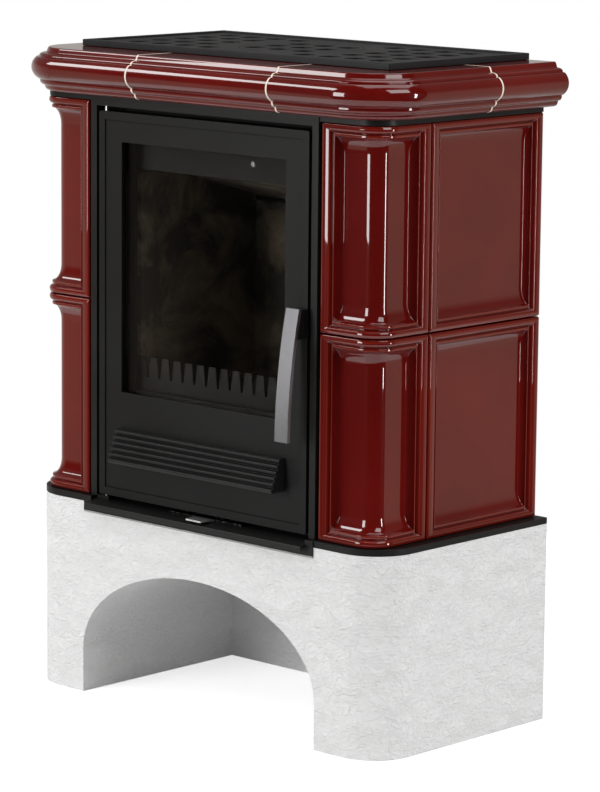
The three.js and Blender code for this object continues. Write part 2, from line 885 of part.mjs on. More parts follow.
function slideScrew(x) {
  const z0 = sillTopZ + seat;
  const neck = z0 + slideThickness + seat;
  const profile = [
    [0, z0], [slideScrewRadius, z0], [slideScrewRadius, neck],
    [slideScrewHeadRadius, neck], [slideScrewHeadRadius, neck + 1.4],
    [slideScrewHeadRadius - 1.4, neck + 2.4], [0, neck + 2.4],
  ].map(([r, z]) => new THREE.Vector2(r, z));
  return new THREE.LatheGeometry(profile, 16).rotateX(Math.PI / 2).translate(x, slideScrewY, 0);
}

// ---------------------------------------------------------------- door

const halfWindow = windowWidth / 2;
const glassHalf = halfWindow + glassOverlap;
const glassY = doorWall + glassSealThickness + 2 * seat;
const channelHalf = halfDoor - ropeChannelInset;

function ringShape(half, bottom, top, width) {
  const shape = rect(-half, half, bottom, top);
  shape.holes.push(new THREE.Path([
    new THREE.Vector2(-half + width, bottom + width),
    new THREE.Vector2(half - width, bottom + width),
    new THREE.Vector2(half - width, top - width),
    new THREE.Vector2(-half + width, top - width),
  ]));
  return shape;
}

function doorFrame() {
  const slab = carriedBack(
    roundedRect(-halfDoor, halfDoor, doorBottom, doorTop, doorCornerRadius), 0, doorThickness, 3);
  const band = doorBandWidth;
  const field = carriedBack(roundedRect(-halfDoor + band, halfDoor - band,
    doorBottom + band, doorTop - band, 1.5), -1, doorFieldSink, 2);
  const window = carriedBack(
    roundedRect(-halfWindow, halfWindow, windowBottom, windowTop, 2), -1, doorThickness + 1, 2);
  const seatHalf = glassHalf + glassPlay;
  const glassSeat = block(-seatHalf, seatHalf, doorWall, doorThickness + 1,
    windowBottom - glassOverlap - glassPlay, windowTop + glassOverlap + glassPlay);
  const lowerPocket = block(-glassHalf, glassHalf, doorWall + doorFieldSink, doorThickness + 1,
    lowerPocketBottom, lowerPocketTop);
  const channel = carriedBack(
    ringShape(channelHalf, doorBottom + ropeChannelInset, doorTop - ropeChannelInset,
      ropeChannelWidth), doorThickness - ropeChannelDepth, doorThickness + 1);
  const pinHoles = [
    upright(hingePinRadius + slideFit, hingeX, hingeY, doorTop - hingePinInDoor - 1, doorTop + 1),
    upright(hingePinRadius + slideFit, hingeX, hingeY, doorBottom - 1,
      doorBottom + hingePinInDoor + 1),
  ];
  const spindleHole = lyingAlongY(spindleRadius + slideFit, spindleX, spindleZ, -1,
    doorThickness + 1);
  return carve([slab], [field, window, glassSeat, lowerPocket, channel, ...pinHoles, spindleHole]);
}

const doorGlass = () => carriedBack(
  roundedRect(-glassHalf, glassHalf, windowBottom - glassOverlap, windowTop + glassOverlap, 4),
  glassY, glassY + glassThickness, 3);

const glassSeal = () => carriedBack(
  ringShape(glassHalf, windowBottom - glassOverlap, windowTop + glassOverlap, glassSealWidth),
  doorWall + seat, glassY - seat);

const doorSeal = () => carriedBack(
  ringShape(channelHalf - seat, doorBottom + ropeChannelInset + seat,
    doorTop - ropeChannelInset - seat, ropeChannelWidth - 2 * seat),
  doorThickness - ropeChannelDepth + seat, doorThickness + ropeProud);

// Z-shaped strip: a flange on the back of the door and a foot on the edge of the glass.
// In its section x runs outwards from the edge of the glass and y back from the door face.
function retainerSection() {
  const t = retainerSheet;
  const foot = glassY + glassThickness + seat;
  const back = doorThickness + seat;
  return [
    [retainerFlange, back], [retainerFlange, back + t], [-seat - t, back + t],
    [-seat - t, foot + t], [-retainerGrip, foot + t], [-retainerGrip, foot],
    [-seat, foot], [-seat, back],
  ];
}

function glassRetainer(side) {
  const middle = (windowBottom + windowTop) / 2;
  const plan = outline(retainerSection().map(([out, y]) => [side * (glassHalf + out), y]));
  return raised(plan, middle - retainerLength / 2, middle + retainerLength / 2);
}

const doorLiner = () => block(-glassHalf - linerLap, glassHalf + linerLap,
  doorThickness + seat, doorThickness + seat + retainerSheet,
  lowerPocketBottom - linerLap, lowerPocketTop + linerLap);

// Ribbed hood over the door's air inlet: a slanted face of round ribs, hollow behind.
function airHood() {
  const back = doorFieldSink - seat;
  const start = new THREE.Vector2(-hoodTopProud, hoodTop);
  const end = new THREE.Vector2(-hoodBottomProud, hoodBottom);
  const along = end.clone().sub(start);
  const pitch = along.length() / hoodRibs;
  const direction = along.clone().normalize();
  const outward = new THREE.Vector2(direction.y, -direction.x);
  const arcSteps = 5;
  const face = [];
  for (let rib = 0; rib < hoodRibs; rib++) {
    for (let i = 0; i <= arcSteps; i++) {
      const t = (rib + 0.06 + 0.88 * (i / arcSteps)) * pitch;
      const swell = 0.36 * pitch * Math.sin((Math.PI * i) / arcSteps);
      face.push(start.clone().addScaledVector(direction, t).addScaledVector(outward, swell));
    }
  }
  const foot = end.clone().addScaledVector(direction, -0.1 * pitch);
  const outer = new THREE.Shape([
    new THREE.Vector2(back, hoodTop), ...face, foot, new THREE.Vector2(back, foot.y)]);
  const insideTop = start.clone().addScaledVector(direction, 1.5 * hoodWall)
    .addScaledVector(outward, -hoodWall);
  const insideFoot = end.clone().addScaledVector(direction, hoodWall)
    .addScaledVector(outward, -hoodWall);
  const inner = new THREE.Shape([
    new THREE.Vector2(back + 1, insideTop.y), insideTop, insideFoot,
    new THREE.Vector2(back + 1, insideFoot.y)]);
  const half = hoodWidth / 2;
  return carve([carriedAcross(outer, -half, half)],
    [carriedAcross(inner, -half + hoodWall, half - hoodWall)]);
}

// ---------------------------------------------------------------- handle and latch

// Where the back of the bar stands at a height: it bows forwards towards its lower end.
function handleBack(z) {
  const t = (handleTop - z) / handleLength;
  return -handleStandoff - handleBow * (1 - (1 - t) ** handleBowPower);
}

// Flat bar on its bracket at the top, free at its lower end.
function handleBar() {
  const steps = 14;
  const back = [];
  for (let i = 0; i <= steps; i++) {
    const z = handleTop - (handleLength * i) / steps;
    back.push([handleBack(z), z]);
  }
  const front = back.map(([y, z]) => [y - handleThickness, z]);
  return carriedAcross(outline([...back, ...front.reverse()]),
    spindleX - handleWidth / 2, spindleX + handleWidth / 2);
}

// The bracket is the black block between bar and door, with a bore for the spindle.
function handleBracket() {
  const half = handleWidth / 2 - bracketInset;
  const top = handleTop - bracketTopDrop;
  const steps = 5;
  const points = [[-slideFit, top - bracketHeight], [-slideFit, top]];
  for (let i = 0; i <= steps; i++) {
    const z = top - (bracketHeight * i) / steps;
    points.push([handleBack(z) + seat, z]);
  }
  const body = carriedAcross(outline(points), spindleX - half, spindleX + half);
  const bore = lyingAlongY(spindleRadius + seat, spindleX, spindleZ,
    handleBack(handleBottom), 1);
  return carve([body], [bore]);
}

const spindleBack = doorThickness + slideFit + camThickness + spindleTail;

const handleSpindle = () =>
  lyingAlongY(spindleRadius, spindleX, spindleZ,
    handleBack(spindleZ + spindleRadius) + 2 * seat, spindleBack);

// Latch cam behind the door: a hub on the spindle with a nose towards the frame.
function latchCam() {
  const shape = new THREE.Shape();
  const noseHalf = camNoseHalf;
  const spread = Math.asin(noseHalf / camHubRadius);
  shape.absarc(spindleX, spindleZ, camHubRadius, spread, 2 * Math.PI - spread);
  shape.lineTo(spindleX + camReach, spindleZ - noseHalf);
  shape.lineTo(spindleX + camReach, spindleZ + noseHalf);
  shape.holes.push(circleHole(spindleX, spindleZ, spindleRadius + seat));
  const y0 = doorThickness + slideFit;
  return carriedBack(shape, y0, y0 + camThickness, 8);
}

// Keeper on the firebox face, just below the nose of the cam.
function latchKeeper() {
  const x0 = spindleX + camHubRadius + slideFit;
  const top = spindleZ - camNoseHalf - 2 * slideFit;
  const back = fireboxFront - seat;
  const hookBack = back - retainerSheet;
  const hookZ = top - keeperHeight / 2;
  const profile = outline([
    [back, top - keeperHeight], [back, top], [doorThickness + 1, top],
    [doorThickness + 1, hookZ], [hookBack, hookZ], [hookBack, top - keeperHeight],
  ]);
  return carriedAcross(profile, x0, x0 + keeperWidth);
}

// ---------------------------------------------------------------- hinge

function hingePin(z0, z1) {
  const r = hingePinRadius;
  const profile = [[0, z0], [r - 0.8, z0], [r, z0 + 0.8], [r, z1 - 0.8], [r - 0.8, z1], [0, z1]]
    .map(([radius, z]) => new THREE.Vector2(radius, z));
  return new THREE.LatheGeometry(profile, 16).rotateX(Math.PI / 2).translate(hingeX, hingeY, 0);
}

const upperPin = () => hingePin(doorTop - hingePinInDoor, frameOpeningTop + hingePinInFrame);
const lowerPin = () => hingePin(sillTopZ + seat, doorBottom + hingePinInDoor);

function hingeBlock() {
  const inner = frameWidth / 2 - frameFace;
  const plan = rect(-inner + seat, hingeX + hingeBlockInside,
    hingeY - hingeBlockFront, hingeY + hingeBlockBack);
  plan.holes.push(circleHole(hingeX, hingeY, hingePinRadius + seat));
  return raised(plan, sillTopZ + seat, doorBottom - hingeBlockGap);
}

// ---------------------------------------------------------------- firebox

const fireboxHalf = fireboxWidth / 2;
const fireboxInner = fireboxHalf - fireboxWall;
const fireboxInnerRear = fireboxRear - fireboxWall;
const fireboxFaceBack = fireboxFront + fireboxWall;

// Welded box with a wide front face, a doorway and the two flue outlets.
function firebox() {
  const w = fireboxWall;
  const faceHalf = fireboxFaceWidth / 2;
  const doorwayHalf = fireDoorwayWidth / 2;
  const box = block(-fireboxHalf, fireboxHalf, fireboxFront, fireboxRear,
    fireboxBottom, fireboxTop);
  const face = block(-faceHalf, faceHalf, fireboxFront, fireboxFaceBack,
    fireboxFaceBottom, fireboxFaceTop);
  const room = block(-fireboxInner, fireboxInner, fireboxFaceBack, fireboxInnerRear,
    fireboxBottom + w, fireboxTop - w);
  const doorway = carriedBack(roundedRect(-doorwayHalf, doorwayHalf,
    fireboxBottom + w, fireDoorwayTop, 6), fireboxFront - 1, fireboxFaceBack + 1, 3);
  const rearOutlet = lyingAlongY(flueRadius - flueWall, 0, flueHeight, fireboxInnerRear - 1,
    fireboxRear + 1, 24);
  const topOutlet = upright(flueRadius - flueWall, 0, topOutletY, fireboxTop - w - 1,
    fireboxTop + 1, 24);
  const shell = carve([box, face], [room, doorway, rearOutlet, topOutlet]);
  const rails = [-1, 1].map((side) => {
    const outer = side * (fireboxInner + w / 2);
    const inner = side * (fireboxInner - railWidth);
    return block(Math.min(outer, inner), Math.max(outer, inner), fireboxFaceBack + 2,
      fireboxInnerRear - 2, hearthZ - seat - railHeight, hearthZ - seat);
  });
  return carve([shell, ...rails]);
}

// Hearth plate on the rails, with a stepped seat for the grate.
const hearthMidY = (fireboxFaceBack + combThickness + fireboxInnerRear) / 2;

function hearthPlate() {
  const plate = block(-fireboxInner + 1, fireboxInner - 1,
    fireboxFaceBack + combThickness + 2 * seat, fireboxInnerRear - 1,
    hearthZ, hearthZ + hearthThickness);
  const halfX = grateWidth / 2 + slideFit;
  const halfY = grateDepth / 2 + slideFit;
  const seatZ = hearthZ + hearthThickness / 2;
  const rebate = block(-halfX, halfX, hearthMidY - halfY, hearthMidY + halfY,
    seatZ, hearthZ + hearthThickness + 1);
  const through = block(-halfX + grateLedge, halfX - grateLedge,
    hearthMidY - halfY + grateLedge, hearthMidY + halfY - grateLedge,
    hearthZ - 1, seatZ + 1);
  return carve([plate], [rebate, through]);
}

function grate() {
  const halfX = grateWidth / 2;
  const halfY = grateDepth / 2;
  const plan = rect(-halfX, halfX, hearthMidY - halfY, hearthMidY + halfY);
  const pitch = (grateWidth - 2 * grateBorder + grateBarGap) / grateBars;
  for (let i = 0; i < grateBars; i++) {
    const x0 = -halfX + grateBorder + i * pitch;
    const slot = roundedRect(x0, x0 + grateBarGap, hearthMidY - halfY + grateBorder,
      hearthMidY + halfY - grateBorder, grateBarGap * 0.49);
    plan.holes.push(new THREE.Path(slot.getPoints(1)));
  }
  const z0 = hearthZ + hearthThickness / 2 + seat;
  return raised(plan, z0, z0 + grateThickness);
}

const brickZ = hearthZ + hearthThickness + seat;
const brickRearY = fireboxInnerRear - brickPlay;
const brickFrontY = fireboxFaceBack + brickFrontGap;
const brickHalf = fireboxInner - brickPlay;
const airHoleCount = 1 + Math.floor((2 * brickHalf - 2 * airHoleMargin) / airHoleSpacing);
const sideBrickInner = brickHalf - brickThickness;

// Underside of the baffle, which slopes up from the rear brick to its front edge.
const baffleSlope = (baffleFrontZ - rearBrickTop) / (brickRearY - baffleFront);
const baffleUnderside = (y) => rearBrickTop + seat + (brickRearY - y) * baffleSlope;

// Side brick, its top edge cut to the slope of the baffle that rests on it.
function sideBrick(side) {
  const outer = side * brickHalf;
  const inner = side * sideBrickInner;
  const rear = brickRearY - brickThickness - seat;
  const profile = outline([
    [brickFrontY, brickZ], [rear, brickZ], [rear, baffleUnderside(rear) - seat],
    [baffleFront, baffleUnderside(baffleFront) - seat],
    [brickFrontY, baffleUnderside(baffleFront) - seat],
  ]);
  return carriedAcross(profile, Math.min(outer, inner), Math.max(outer, inner));
}

// Rear brick with a row of holes for the second air.
function rearBrick() {
  const shape = rect(-brickHalf, brickHalf, brickZ, rearBrickTop);
  for (let i = 0; i < airHoleCount; i++) {
    const x = (i - (airHoleCount - 1) / 2) * airHoleSpacing;
    const hole = circleHole(x, brickZ + airHoleRise, airHoleRadius);
    shape.holes.push(new THREE.Path(hole.getPoints(4).slice(0, -1)));
  }
  return carriedBack(shape, brickRearY - brickThickness, brickRearY);
}

// Floor brick beside the grate, chamfered towards it.
function floorBrick(side) {
  const inner = grateWidth / 2 + 2;
  const outer = sideBrickInner - seat;
  const top = brickZ + floorBrickThickness;
  const chamfer = floorBrickThickness * 0.7;
  const shape = outline([
    [side * inner, brickZ], [side * outer, brickZ], [side * outer, top],
    [side * (inner + chamfer), top], [side * inner, top - chamfer],
  ]);
  return carriedBack(shape, brickFrontY, brickRearY - brickThickness - seat);
}

function baffle() {
  const profile = outline([
    [baffleFront, baffleUnderside(baffleFront)], [brickRearY, baffleUnderside(brickRearY)],
    [brickRearY, baffleUnderside(brickRearY) + baffleThickness],
    [baffleFront, baffleUnderside(baffleFront) + baffleThickness],
  ]);
  return carriedAcross(profile, -brickHalf, brickHalf);
}

// Bent sheet behind the top of the doorway that blows air down the glass.
function airWashPlate() {
  const y0 = fireboxFaceBack + seat;
  const t = retainerSheet;
  const top = fireDoorwayTop + airWashLap;
  const profile = outline([
    [y0, airWashBottom], [y0 + t, airWashBottom], [y0 + t, top - t],
    [y0 + airWashShelf, top - t], [y0 + airWashShelf, top], [y0, top],
  ]);
  return carriedAcross(profile, -brickHalf, brickHalf);
}

// Toothed plate that keeps logs off the glass: V-shaped gaps between flat-topped teeth.
function logRetainer() {
  const half = combWidth / 2;
  const points = [[-half, combBottom], [half, combBottom], [half, combTop]];
  for (let i = combSlots - 1; i >= 0; i--) {
    const x = (i - (combSlots - 1) / 2) * combPitch;
    points.push([x + combSlotWidthTop / 2, combTop]);
    points.push([x + combSlotWidthBottom / 2, combSlotBottom + 1]);
    points.push([x, combSlotBottom]);
    points.push([x - combSlotWidthBottom / 2, combSlotBottom + 1]);
    points.push([x - combSlotWidthTop / 2, combTop]);
  }
  points.push([-half, combTop]);
  const y0 = fireboxFaceBack + seat;
  const plate = carriedBack(outline(points), y0, y0 + combThickness);
  const rail = block(-half, half, y0 - combRailThickness, y0 + combThickness / 2,
    combBottom, combRailTop);
  return carve([plate, rail]);
}

// Folded pan with a bail handle in front.
function ashPan() {
  const half = ashPanWidth / 2;
  const foot = half - ashPanTaper;
  const y0 = fireboxFaceBack + ashPanFrontGap;
  const y1 = fireboxInnerRear - ashPanRearGap;
  const z0 = fireboxBottom + fireboxWall + seat;
  const z1 = z0 + ashPanHeight;
  const t = ashPanWall;
  const tray = outline([[-foot, z0], [foot, z0], [half, z1], [-half, z1]]);
  const hollow = outline([[-foot + t, z0 + t], [foot - t, z0 + t],
    [half - t, z1 + 1], [-half + t, z1 + 1]]);
  const [bailZ0, bailZ1] = [z1 - bailDrop, z1 - bailDrop + bailHeight];
  const [bailY, bailTop] = [y0 - bailReach, bailZ0 + bailSheet];
  const bail = outline([[y0 + t / 3, bailZ0], [bailY, bailZ0], [bailY, bailZ1],
    [bailY + bailSheet, bailZ1], [bailY + bailSheet, bailTop], [y0 + t / 3, bailTop]]);
  return carve(
    [carriedBack(tray, y0, y1), carriedAcross(bail, -bailHalf, bailHalf)],
    [carriedBack(hollow, y0 + t, y1 - t)]);
}

// ---------------------------------------------------------------- flue

// Spigot with a flange against the back of the firebox.
function flueCollar() {
  const y0 = fireboxRear + seat;
  const y1 = bodyDepth + flueProud;
  const inner = flueRadius - flueWall;
  const profile = [
    [inner, y0], [flueRadius + flueFlange, y0], [flueRadius + flueFlange, y0 + 3],
    [flueRadius, y0 + 3], [flueRadius, y1 - 6], [flueRadius + 1.5, y1 - 4.5],
    [flueRadius, y1 - 3], [flueRadius, y1], [inner, y1], [inner, y0],
  ].map(([r, y]) => new THREE.Vector2(r, y));
  return new THREE.LatheGeometry(profile, 24).translate(0, 0, flueHeight);
}

// Blanking cap over the unused top outlet.
function topOutletCap() {
  const z0 = fireboxTop + seat;
  const r = flueRadius + flueFlange;
  const profile = [
    [0, z0], [r, z0], [r, z0 + 3], [flueRadius - 6, z0 + 3], [flueRadius - 10, z0 + 7],
    [0, z0 + 7],
  ].map(([radius, z]) => new THREE.Vector2(radius, z));
  return new THREE.LatheGeometry(profile, 24).rotateX(Math.PI / 2).translate(0, topOutletY, 0);
}

// ---------------------------------------------------------------- sheet casing

const tileBackX = halfBody - tileBackDepth;
const casingOuter = tileBackX - casingGap;

// Side sheet of the convection casing, with a flange along its front and rear edge and an
// angle welded on outside, against which the joint between corner and side tile rests.
function casingSide(side) {
  const x1 = side * casingOuter;
  const x0 = side * (casingOuter - casingSheet);
  const turned = side * (casingOuter - casingFlange);
  const y0 = tileBackDepth + casingFrontGap;
  const y1 = bodyDepth - rearPanelInset - casingSheet - seat;
  const railTip = side * (tileBackX - seat);
  const railFoot = side * (casingOuter + tileRailSheet);
  const railY = cornerTileLeg;
  const plan = outline([
    [x1, y0], [x1, railY], [railTip, railY], [railTip, railY + tileRailSheet],
    [railFoot, railY + tileRailSheet], [railFoot, railY + tileRailSize],
    [x1, railY + tileRailSize], [x1, y1], [turned, y1], [turned, y1 - casingSheet],
    [x0, y1 - casingSheet], [x0, y0 + casingSheet], [turned, y0 + casingSheet], [turned, y0],
  ]);
  return raised(plan, tileZ, tileTop);
}

// Rear panel: wide between the tiles, narrower between the cornice ends, with air slots.
function rearPanel() {
  const wide = tileBackX - rearPanelPlay;
  const narrow = halfBody + corniceInnerOffset - rearPanelPlay;
  const top = topPlateZ - seat;
  const shoulder = tileTop;
  const shape = outline([[-wide, tileZ], [wide, tileZ], [wide, shoulder], [narrow, shoulder],
    [narrow, top], [-narrow, top], [-narrow, shoulder], [-wide, shoulder]]);
  shape.holes.push(circleHole(0, flueHeight, flueRadius + flueOpeningGap));
  for (let i = 0; i < rearSlotCount; i++) {
    const x = (i - (rearSlotCount - 1) / 2) * rearSlotPitch;
    const slot = roundedRect(x - rearSlotWidth / 2, x + rearSlotWidth / 2,
      tileZ + rearSlotRise, tileZ + rearSlotRise + rearSlotHeight, rearSlotWidth * 0.49);
    shape.holes.push(new THREE.Path(slot.getPoints(1)));
  }
  const y1 = bodyDepth - rearPanelInset;
  return carriedBack(shape, y1 - casingSheet, y1, 8);
}

// ---------------------------------------------------------------- assembly

function addBase(parent) {
  place(parent, 'plinth', plinth(), plaster);
  place(parent, 'carrier_plate', carrierPlate(), blackSteel);
  place(parent, 'cornice_carrier', corniceCarrier(), blackSteel);
}

function addFront(parent) {
  place(parent, 'front_frame', frontFrame(), blackSteel);
  place(parent, 'ash_sill', sill(), blackSteel);
  place(parent, 'air_slide', airSlide(), brightSteel);
  const half = slideScrewSpacing / 2;
  place(parent, 'slide_screw_left', slideScrew(-half), brightSteel);
  place(parent, 'slide_screw_right', slideScrew(half), brightSteel);
  place(parent, 'hinge_pin_upper', upperPin(), brightSteel);
  place(parent, 'hinge_pin_lower', lowerPin(), brightSteel);
  place(parent, 'hinge_block_lower', hingeBlock(), blackSteel);
  place(parent, 'latch_keeper', latchKeeper(), galvanised);
}

function addDoor(parent) {
  place(parent, 'door_frame', doorFrame(), blackSteel);
  place(parent, 'door_glass', doorGlass(), clearGlass);
  place(parent, 'glass_seal', glassSeal(), ropeGrey);
  place(parent, 'door_seal', doorSeal(), ropeGrey);
  place(parent, 'glass_retainer_left', glassRetainer(-1), blackSteel);
  place(parent, 'glass_retainer_right', glassRetainer(1), blackSteel);
  place(parent, 'door_liner', doorLiner(), blackSteel);
  place(parent, 'air_hood', airHood(), blackSteel);
}

function addHandle(parent) {
  place(parent, 'handle_bar', handleBar(), brushedSteel);
  place(parent, 'handle_bracket', handleBracket(), blackSteel);
  place(parent, 'handle_spindle', handleSpindle(), brightSteel);
  place(parent, 'latch_cam', latchCam(), galvanised);
}

function addFirebox(parent) {
  place(parent, 'firebox', firebox(), boilerPlate);
  place(parent, 'hearth_plate', hearthPlate(), castBlack);
  place(parent, 'grate', grate(), castBlack);
  place(parent, 'log_retainer', logRetainer(), castBlack);
  place(parent, 'air_wash_plate', airWashPlate(), boilerPlate);
  place(parent, 'ash_pan', ashPan(), boilerPlate);
  place(parent, 'fire_brick_left', sideBrick(-1), fireClay);
  place(parent, 'fire_brick_right', sideBrick(1), fireClay);
  place(parent, 'fire_brick_rear', rearBrick(), fireClay);
  place(parent, 'floor_brick_left', floorBrick(-1), fireClay);
  place(parent, 'floor_brick_right', floorBrick(1), fireClay);
  place(parent, 'baffle', baffle(), fireClay);
  place(parent, 'flue_collar', flueCollar(), boilerPlate);
  place(parent, 'top_outlet_cap', topOutletCap(), boilerPlate);
}

function addCasing(parent) {
  place(parent, 'casing_left', casingSide(-1), galvanised);
  place(parent, 'casing_right', casingSide(1), galvanised);
  place(parent, 'rear_panel', rearPanel(), blackSteel);
}

addBase(stove);
addTiles(stove);
addCornice(stove);
place(stove, 'top_plate', topPlate(), castBlack);
place(stove, 'top_cover', topCover(), castBlack);
addFront(stove);
addDoor(stove);
addHandle(stove);
addFirebox(stove);
addCasing(stove);

// Centre the footprint: the handle reaches furthest forwards, the flue collar furthest back.
const frontMost = -handleStandoff - handleThickness - handleBow;
const rearMost = bodyDepth + flueProud;
stove.position.y = -(frontMost + rearMost) / 2;

export default stove;
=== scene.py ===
"""Looks of the tiled stove: smooth glazed tiles, finishes, floor, lamps and camera.

Shapes are drawn in stove millimetres, with x to the latch side, y back from the front
plane of the tiles and z up from the floor. at() turns them into metres in the CAD frame.
"""

import math

import bmesh
import bpy
from mathutils import Matrix, Vector


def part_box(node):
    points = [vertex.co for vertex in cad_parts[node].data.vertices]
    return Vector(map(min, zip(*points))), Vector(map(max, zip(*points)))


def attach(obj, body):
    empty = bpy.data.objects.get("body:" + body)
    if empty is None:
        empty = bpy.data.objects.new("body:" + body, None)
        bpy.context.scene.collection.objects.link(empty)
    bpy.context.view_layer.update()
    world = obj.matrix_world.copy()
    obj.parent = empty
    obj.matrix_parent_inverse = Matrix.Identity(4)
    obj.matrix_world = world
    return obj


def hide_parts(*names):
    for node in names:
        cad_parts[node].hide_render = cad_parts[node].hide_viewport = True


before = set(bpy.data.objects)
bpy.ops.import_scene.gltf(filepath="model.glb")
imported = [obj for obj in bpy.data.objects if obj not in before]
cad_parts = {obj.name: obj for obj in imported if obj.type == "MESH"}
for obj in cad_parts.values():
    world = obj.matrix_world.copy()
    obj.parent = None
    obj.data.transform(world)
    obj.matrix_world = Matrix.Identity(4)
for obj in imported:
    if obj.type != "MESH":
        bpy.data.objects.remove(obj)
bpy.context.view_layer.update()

# ------------------------------------------------------------------ sizes, in millimetres

MM = 0.001
SAME_POINT = 1e-6
WELD_REACH = 1e-5
SHARP_ANGLE = math.radians(50)
BEVEL_ANGLE = math.radians(32)
FACE_WEIGHT = 80
SIDES = ((-1, "left"), (1, "right"))
TILE_FRONT_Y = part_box("corner_tile_left_lower")[0].y

BODY_HALF = 347
BODY_DEPTH = 358
TILE_CORNER_RADIUS = 40
TILE_BOTTOM = 307.3
TILE_PITCH = 300
TILE_JOINT = 0.8
TILE_BACK_DEPTH = 34
TILE_POCKET_DEPTH = 26
TILE_POCKET_INSET = 14
CORNER_TILE_FRONT_X = 236
CORNER_TILE_LEG = 111
CORNER_SHAFT_DEPTH = 18
SIDE_FIELD_DEPTH = 14
TILE_COVE_HEIGHT = 25.4
TILE_COVE_WIDTH = 7.5
TILE_CORNER_EASE = 1.4
COVE_STEPS = 12
TURN_STEPS = 20
GLAZE_ROUNDING = 1.1

CORNICE_BOTTOM = 914.7
CORNICE_TOP = 980
CORNICE_CORNER_RADIUS = 62
CORNICE_INNER = -60
CORNICE_REAR_Y = 369
CORNICE_JOINT_WIDTH = 3
CORNICE_END_EASE = 0.35
GROUT_GAP = 0.03
GROUT_PROUD = 0.12
CORNICE_JOINT_FRONT = (-122, 162)
CORNICE_JOINT_SIDE_LEFT = 185
CORNICE_JOINT_SIDE_RIGHT = 221

TOP_PLATE_HALF = 312
TOP_PLATE_FRONT = 58
TOP_PLATE_REAR = 365
TOP_PLATE_BOTTOM = 980.3
TOP_PLATE_TOP = 990
TOP_PLATE_SINK = 2.4
TOP_PLATE_RIM = 12
TOP_PLATE_LAP = 2
TOP_PLATE_RADIUS = 3
TOP_PLATE_INNER_RADIUS = 5
GRILLE_PITCH = 49
GRILLE_COLUMNS = 11
GRILLE_ROWS = 5
GRILLE_OPENING = 30
GRILLE_RADIUS = 11
COVER_RADIUS = 93
COVER_GAP = 0.6
COVER_MARGIN = 5
COVER_LEDGE = 6
COVER_BOTTOM = 985.15
LEDGE_LAP = 1
LEDGE_GAP = 0.3

APRON_BOTTOM = 282
APRON_PALE_HEIGHT = 3.2
SLIDE_BARE_FROM = 4
AIR_WASH_FACE = 38.6
SCREW_X = 70
SCREW_Z = 831.6
SCREW_SECTION = ((4.6, 0), (4.6, 1.2), (4.0, 2.2), (2.6, 2.9), (1.9, 2.9), (1.7, 1.4))
SCREW_POINTS = 24

HOOD_HALF = 169
HOOD_TOP = 418
HOOD_BOTTOM = 368
HOOD_TOP_PROUD = 6
HOOD_BOTTOM_PROUD = 24
HOOD_RIBS = 6
HOOD_RIB_STEPS = 12
HOOD_BACK = 1.3
HOOD_WALL = 3
HOOD_CHEEK_INSET = 0.2


def at(x, y, z):
    return Vector((x * MM, TILE_FRONT_Y + y * MM, z * MM))


# ------------------------------------------------------------------ mesh helpers


def between(a, b, t):
    return tuple(p + (q - p) * t for p, q in zip(a, b))


def distance(a, b):
    return math.sqrt(sum((p - q) ** 2 for p, q in zip(a, b)))


def eased(points, radius, steps=3, closed=False):
    """The same outline with each of its corners rounded over at most radius."""
    count = len(points)
    result = []
    for i, corner in enumerate(points):
        if not closed and i in (0, count - 1):
            result.append(corner)
            continue
        before, after = points[i - 1], points[(i + 1) % count]
        cut_in = min(radius / max(distance(before, corner), 1e-6), 0.45)
        cut_out = min(radius / max(distance(after, corner), 1e-6), 0.45)
        start, end = between(corner, before, cut_in), between(corner, after, cut_out)
        for k in range(steps + 1):
            t = k / steps
            result.append(between(between(start, corner, t), between(corner, end, t), t))
    return result


def placed(name, data):
    """A new object in the scene that shows data."""
    thing = bpy.data.objects.new(name, data)
    bpy.context.scene.collection.objects.link(thing)
    return thing


def clean(mesh):
    """Joins points in the same place, and turns all faces outwards."""
    built = bmesh.new()
    built.from_mesh(mesh)
    bmesh.ops.remove_doubles(built, verts=built.verts, dist=SAME_POINT)
    bmesh.ops.recalc_face_normals(built, faces=built.faces)
    built.to_mesh(mesh)
    built.free()
    mesh.shade_smooth()


def new_piece(name, vertices, faces, material, body, slot, replaces=()):
    """A finished piece from points in stove millimetres."""
    mesh = bpy.data.meshes.new(name)
    mesh.from_pydata([at(*v) for v in vertices], [], faces)
    clean(mesh)
    mesh.set_sharp_from_angle(angle=SHARP_ANGLE)
    return finish_piece(placed(name, mesh), material, body, replaces)


def finish_piece(piece, material, body, replaces=()):
    """Gives a piece its material, and says what it rides on and stands for."""
    piece.data.materials.clear()
    piece.data.materials.append(material)
    weight_normals(piece)
    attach(piece, body)
    if replaces:
        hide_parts(*replaces)
    return piece


def weight_normals(piece):
    """Flat faces stay flat and only the rounded edges between them turn the light."""
    modifier = piece.modifiers.new("flat_faces", "WEIGHTED_NORMAL")
    modifier.weight = FACE_WEIGHT
    modifier.keep_sharp = True


def skin(rings, cap):
    """Vertices and faces of closed rings joined in a row; cap gives the end faces."""
    count = len(rings[0])
    vertices = [point for ring in rings for point in ring]
    faces = []
    for r in range(len(rings) - 1):
        for i in range(count):
            j = (i + 1) % count
            a, b = r * count, (r + 1) * count
            faces.append((a + i, a + j, b + j, b + i))
    last = (len(rings) - 1) * count
    for face in cap:
        faces.append(tuple(face))
        faces.append(tuple(last + i for i in reversed(face)))
    return vertices, faces


def extruded(name, outline, x0, x1, *rest):
    """A piece with the same outline, of (y, z), at both of its ends along x."""
    rings = [[(x, y, z) for y, z in outline] for x in (x0, x1)]
    vertices, faces = skin(rings, [range(len(outline))])
    return new_piece(name, vertices, faces, *rest)


# ------------------------------------------------------------------ material helpers


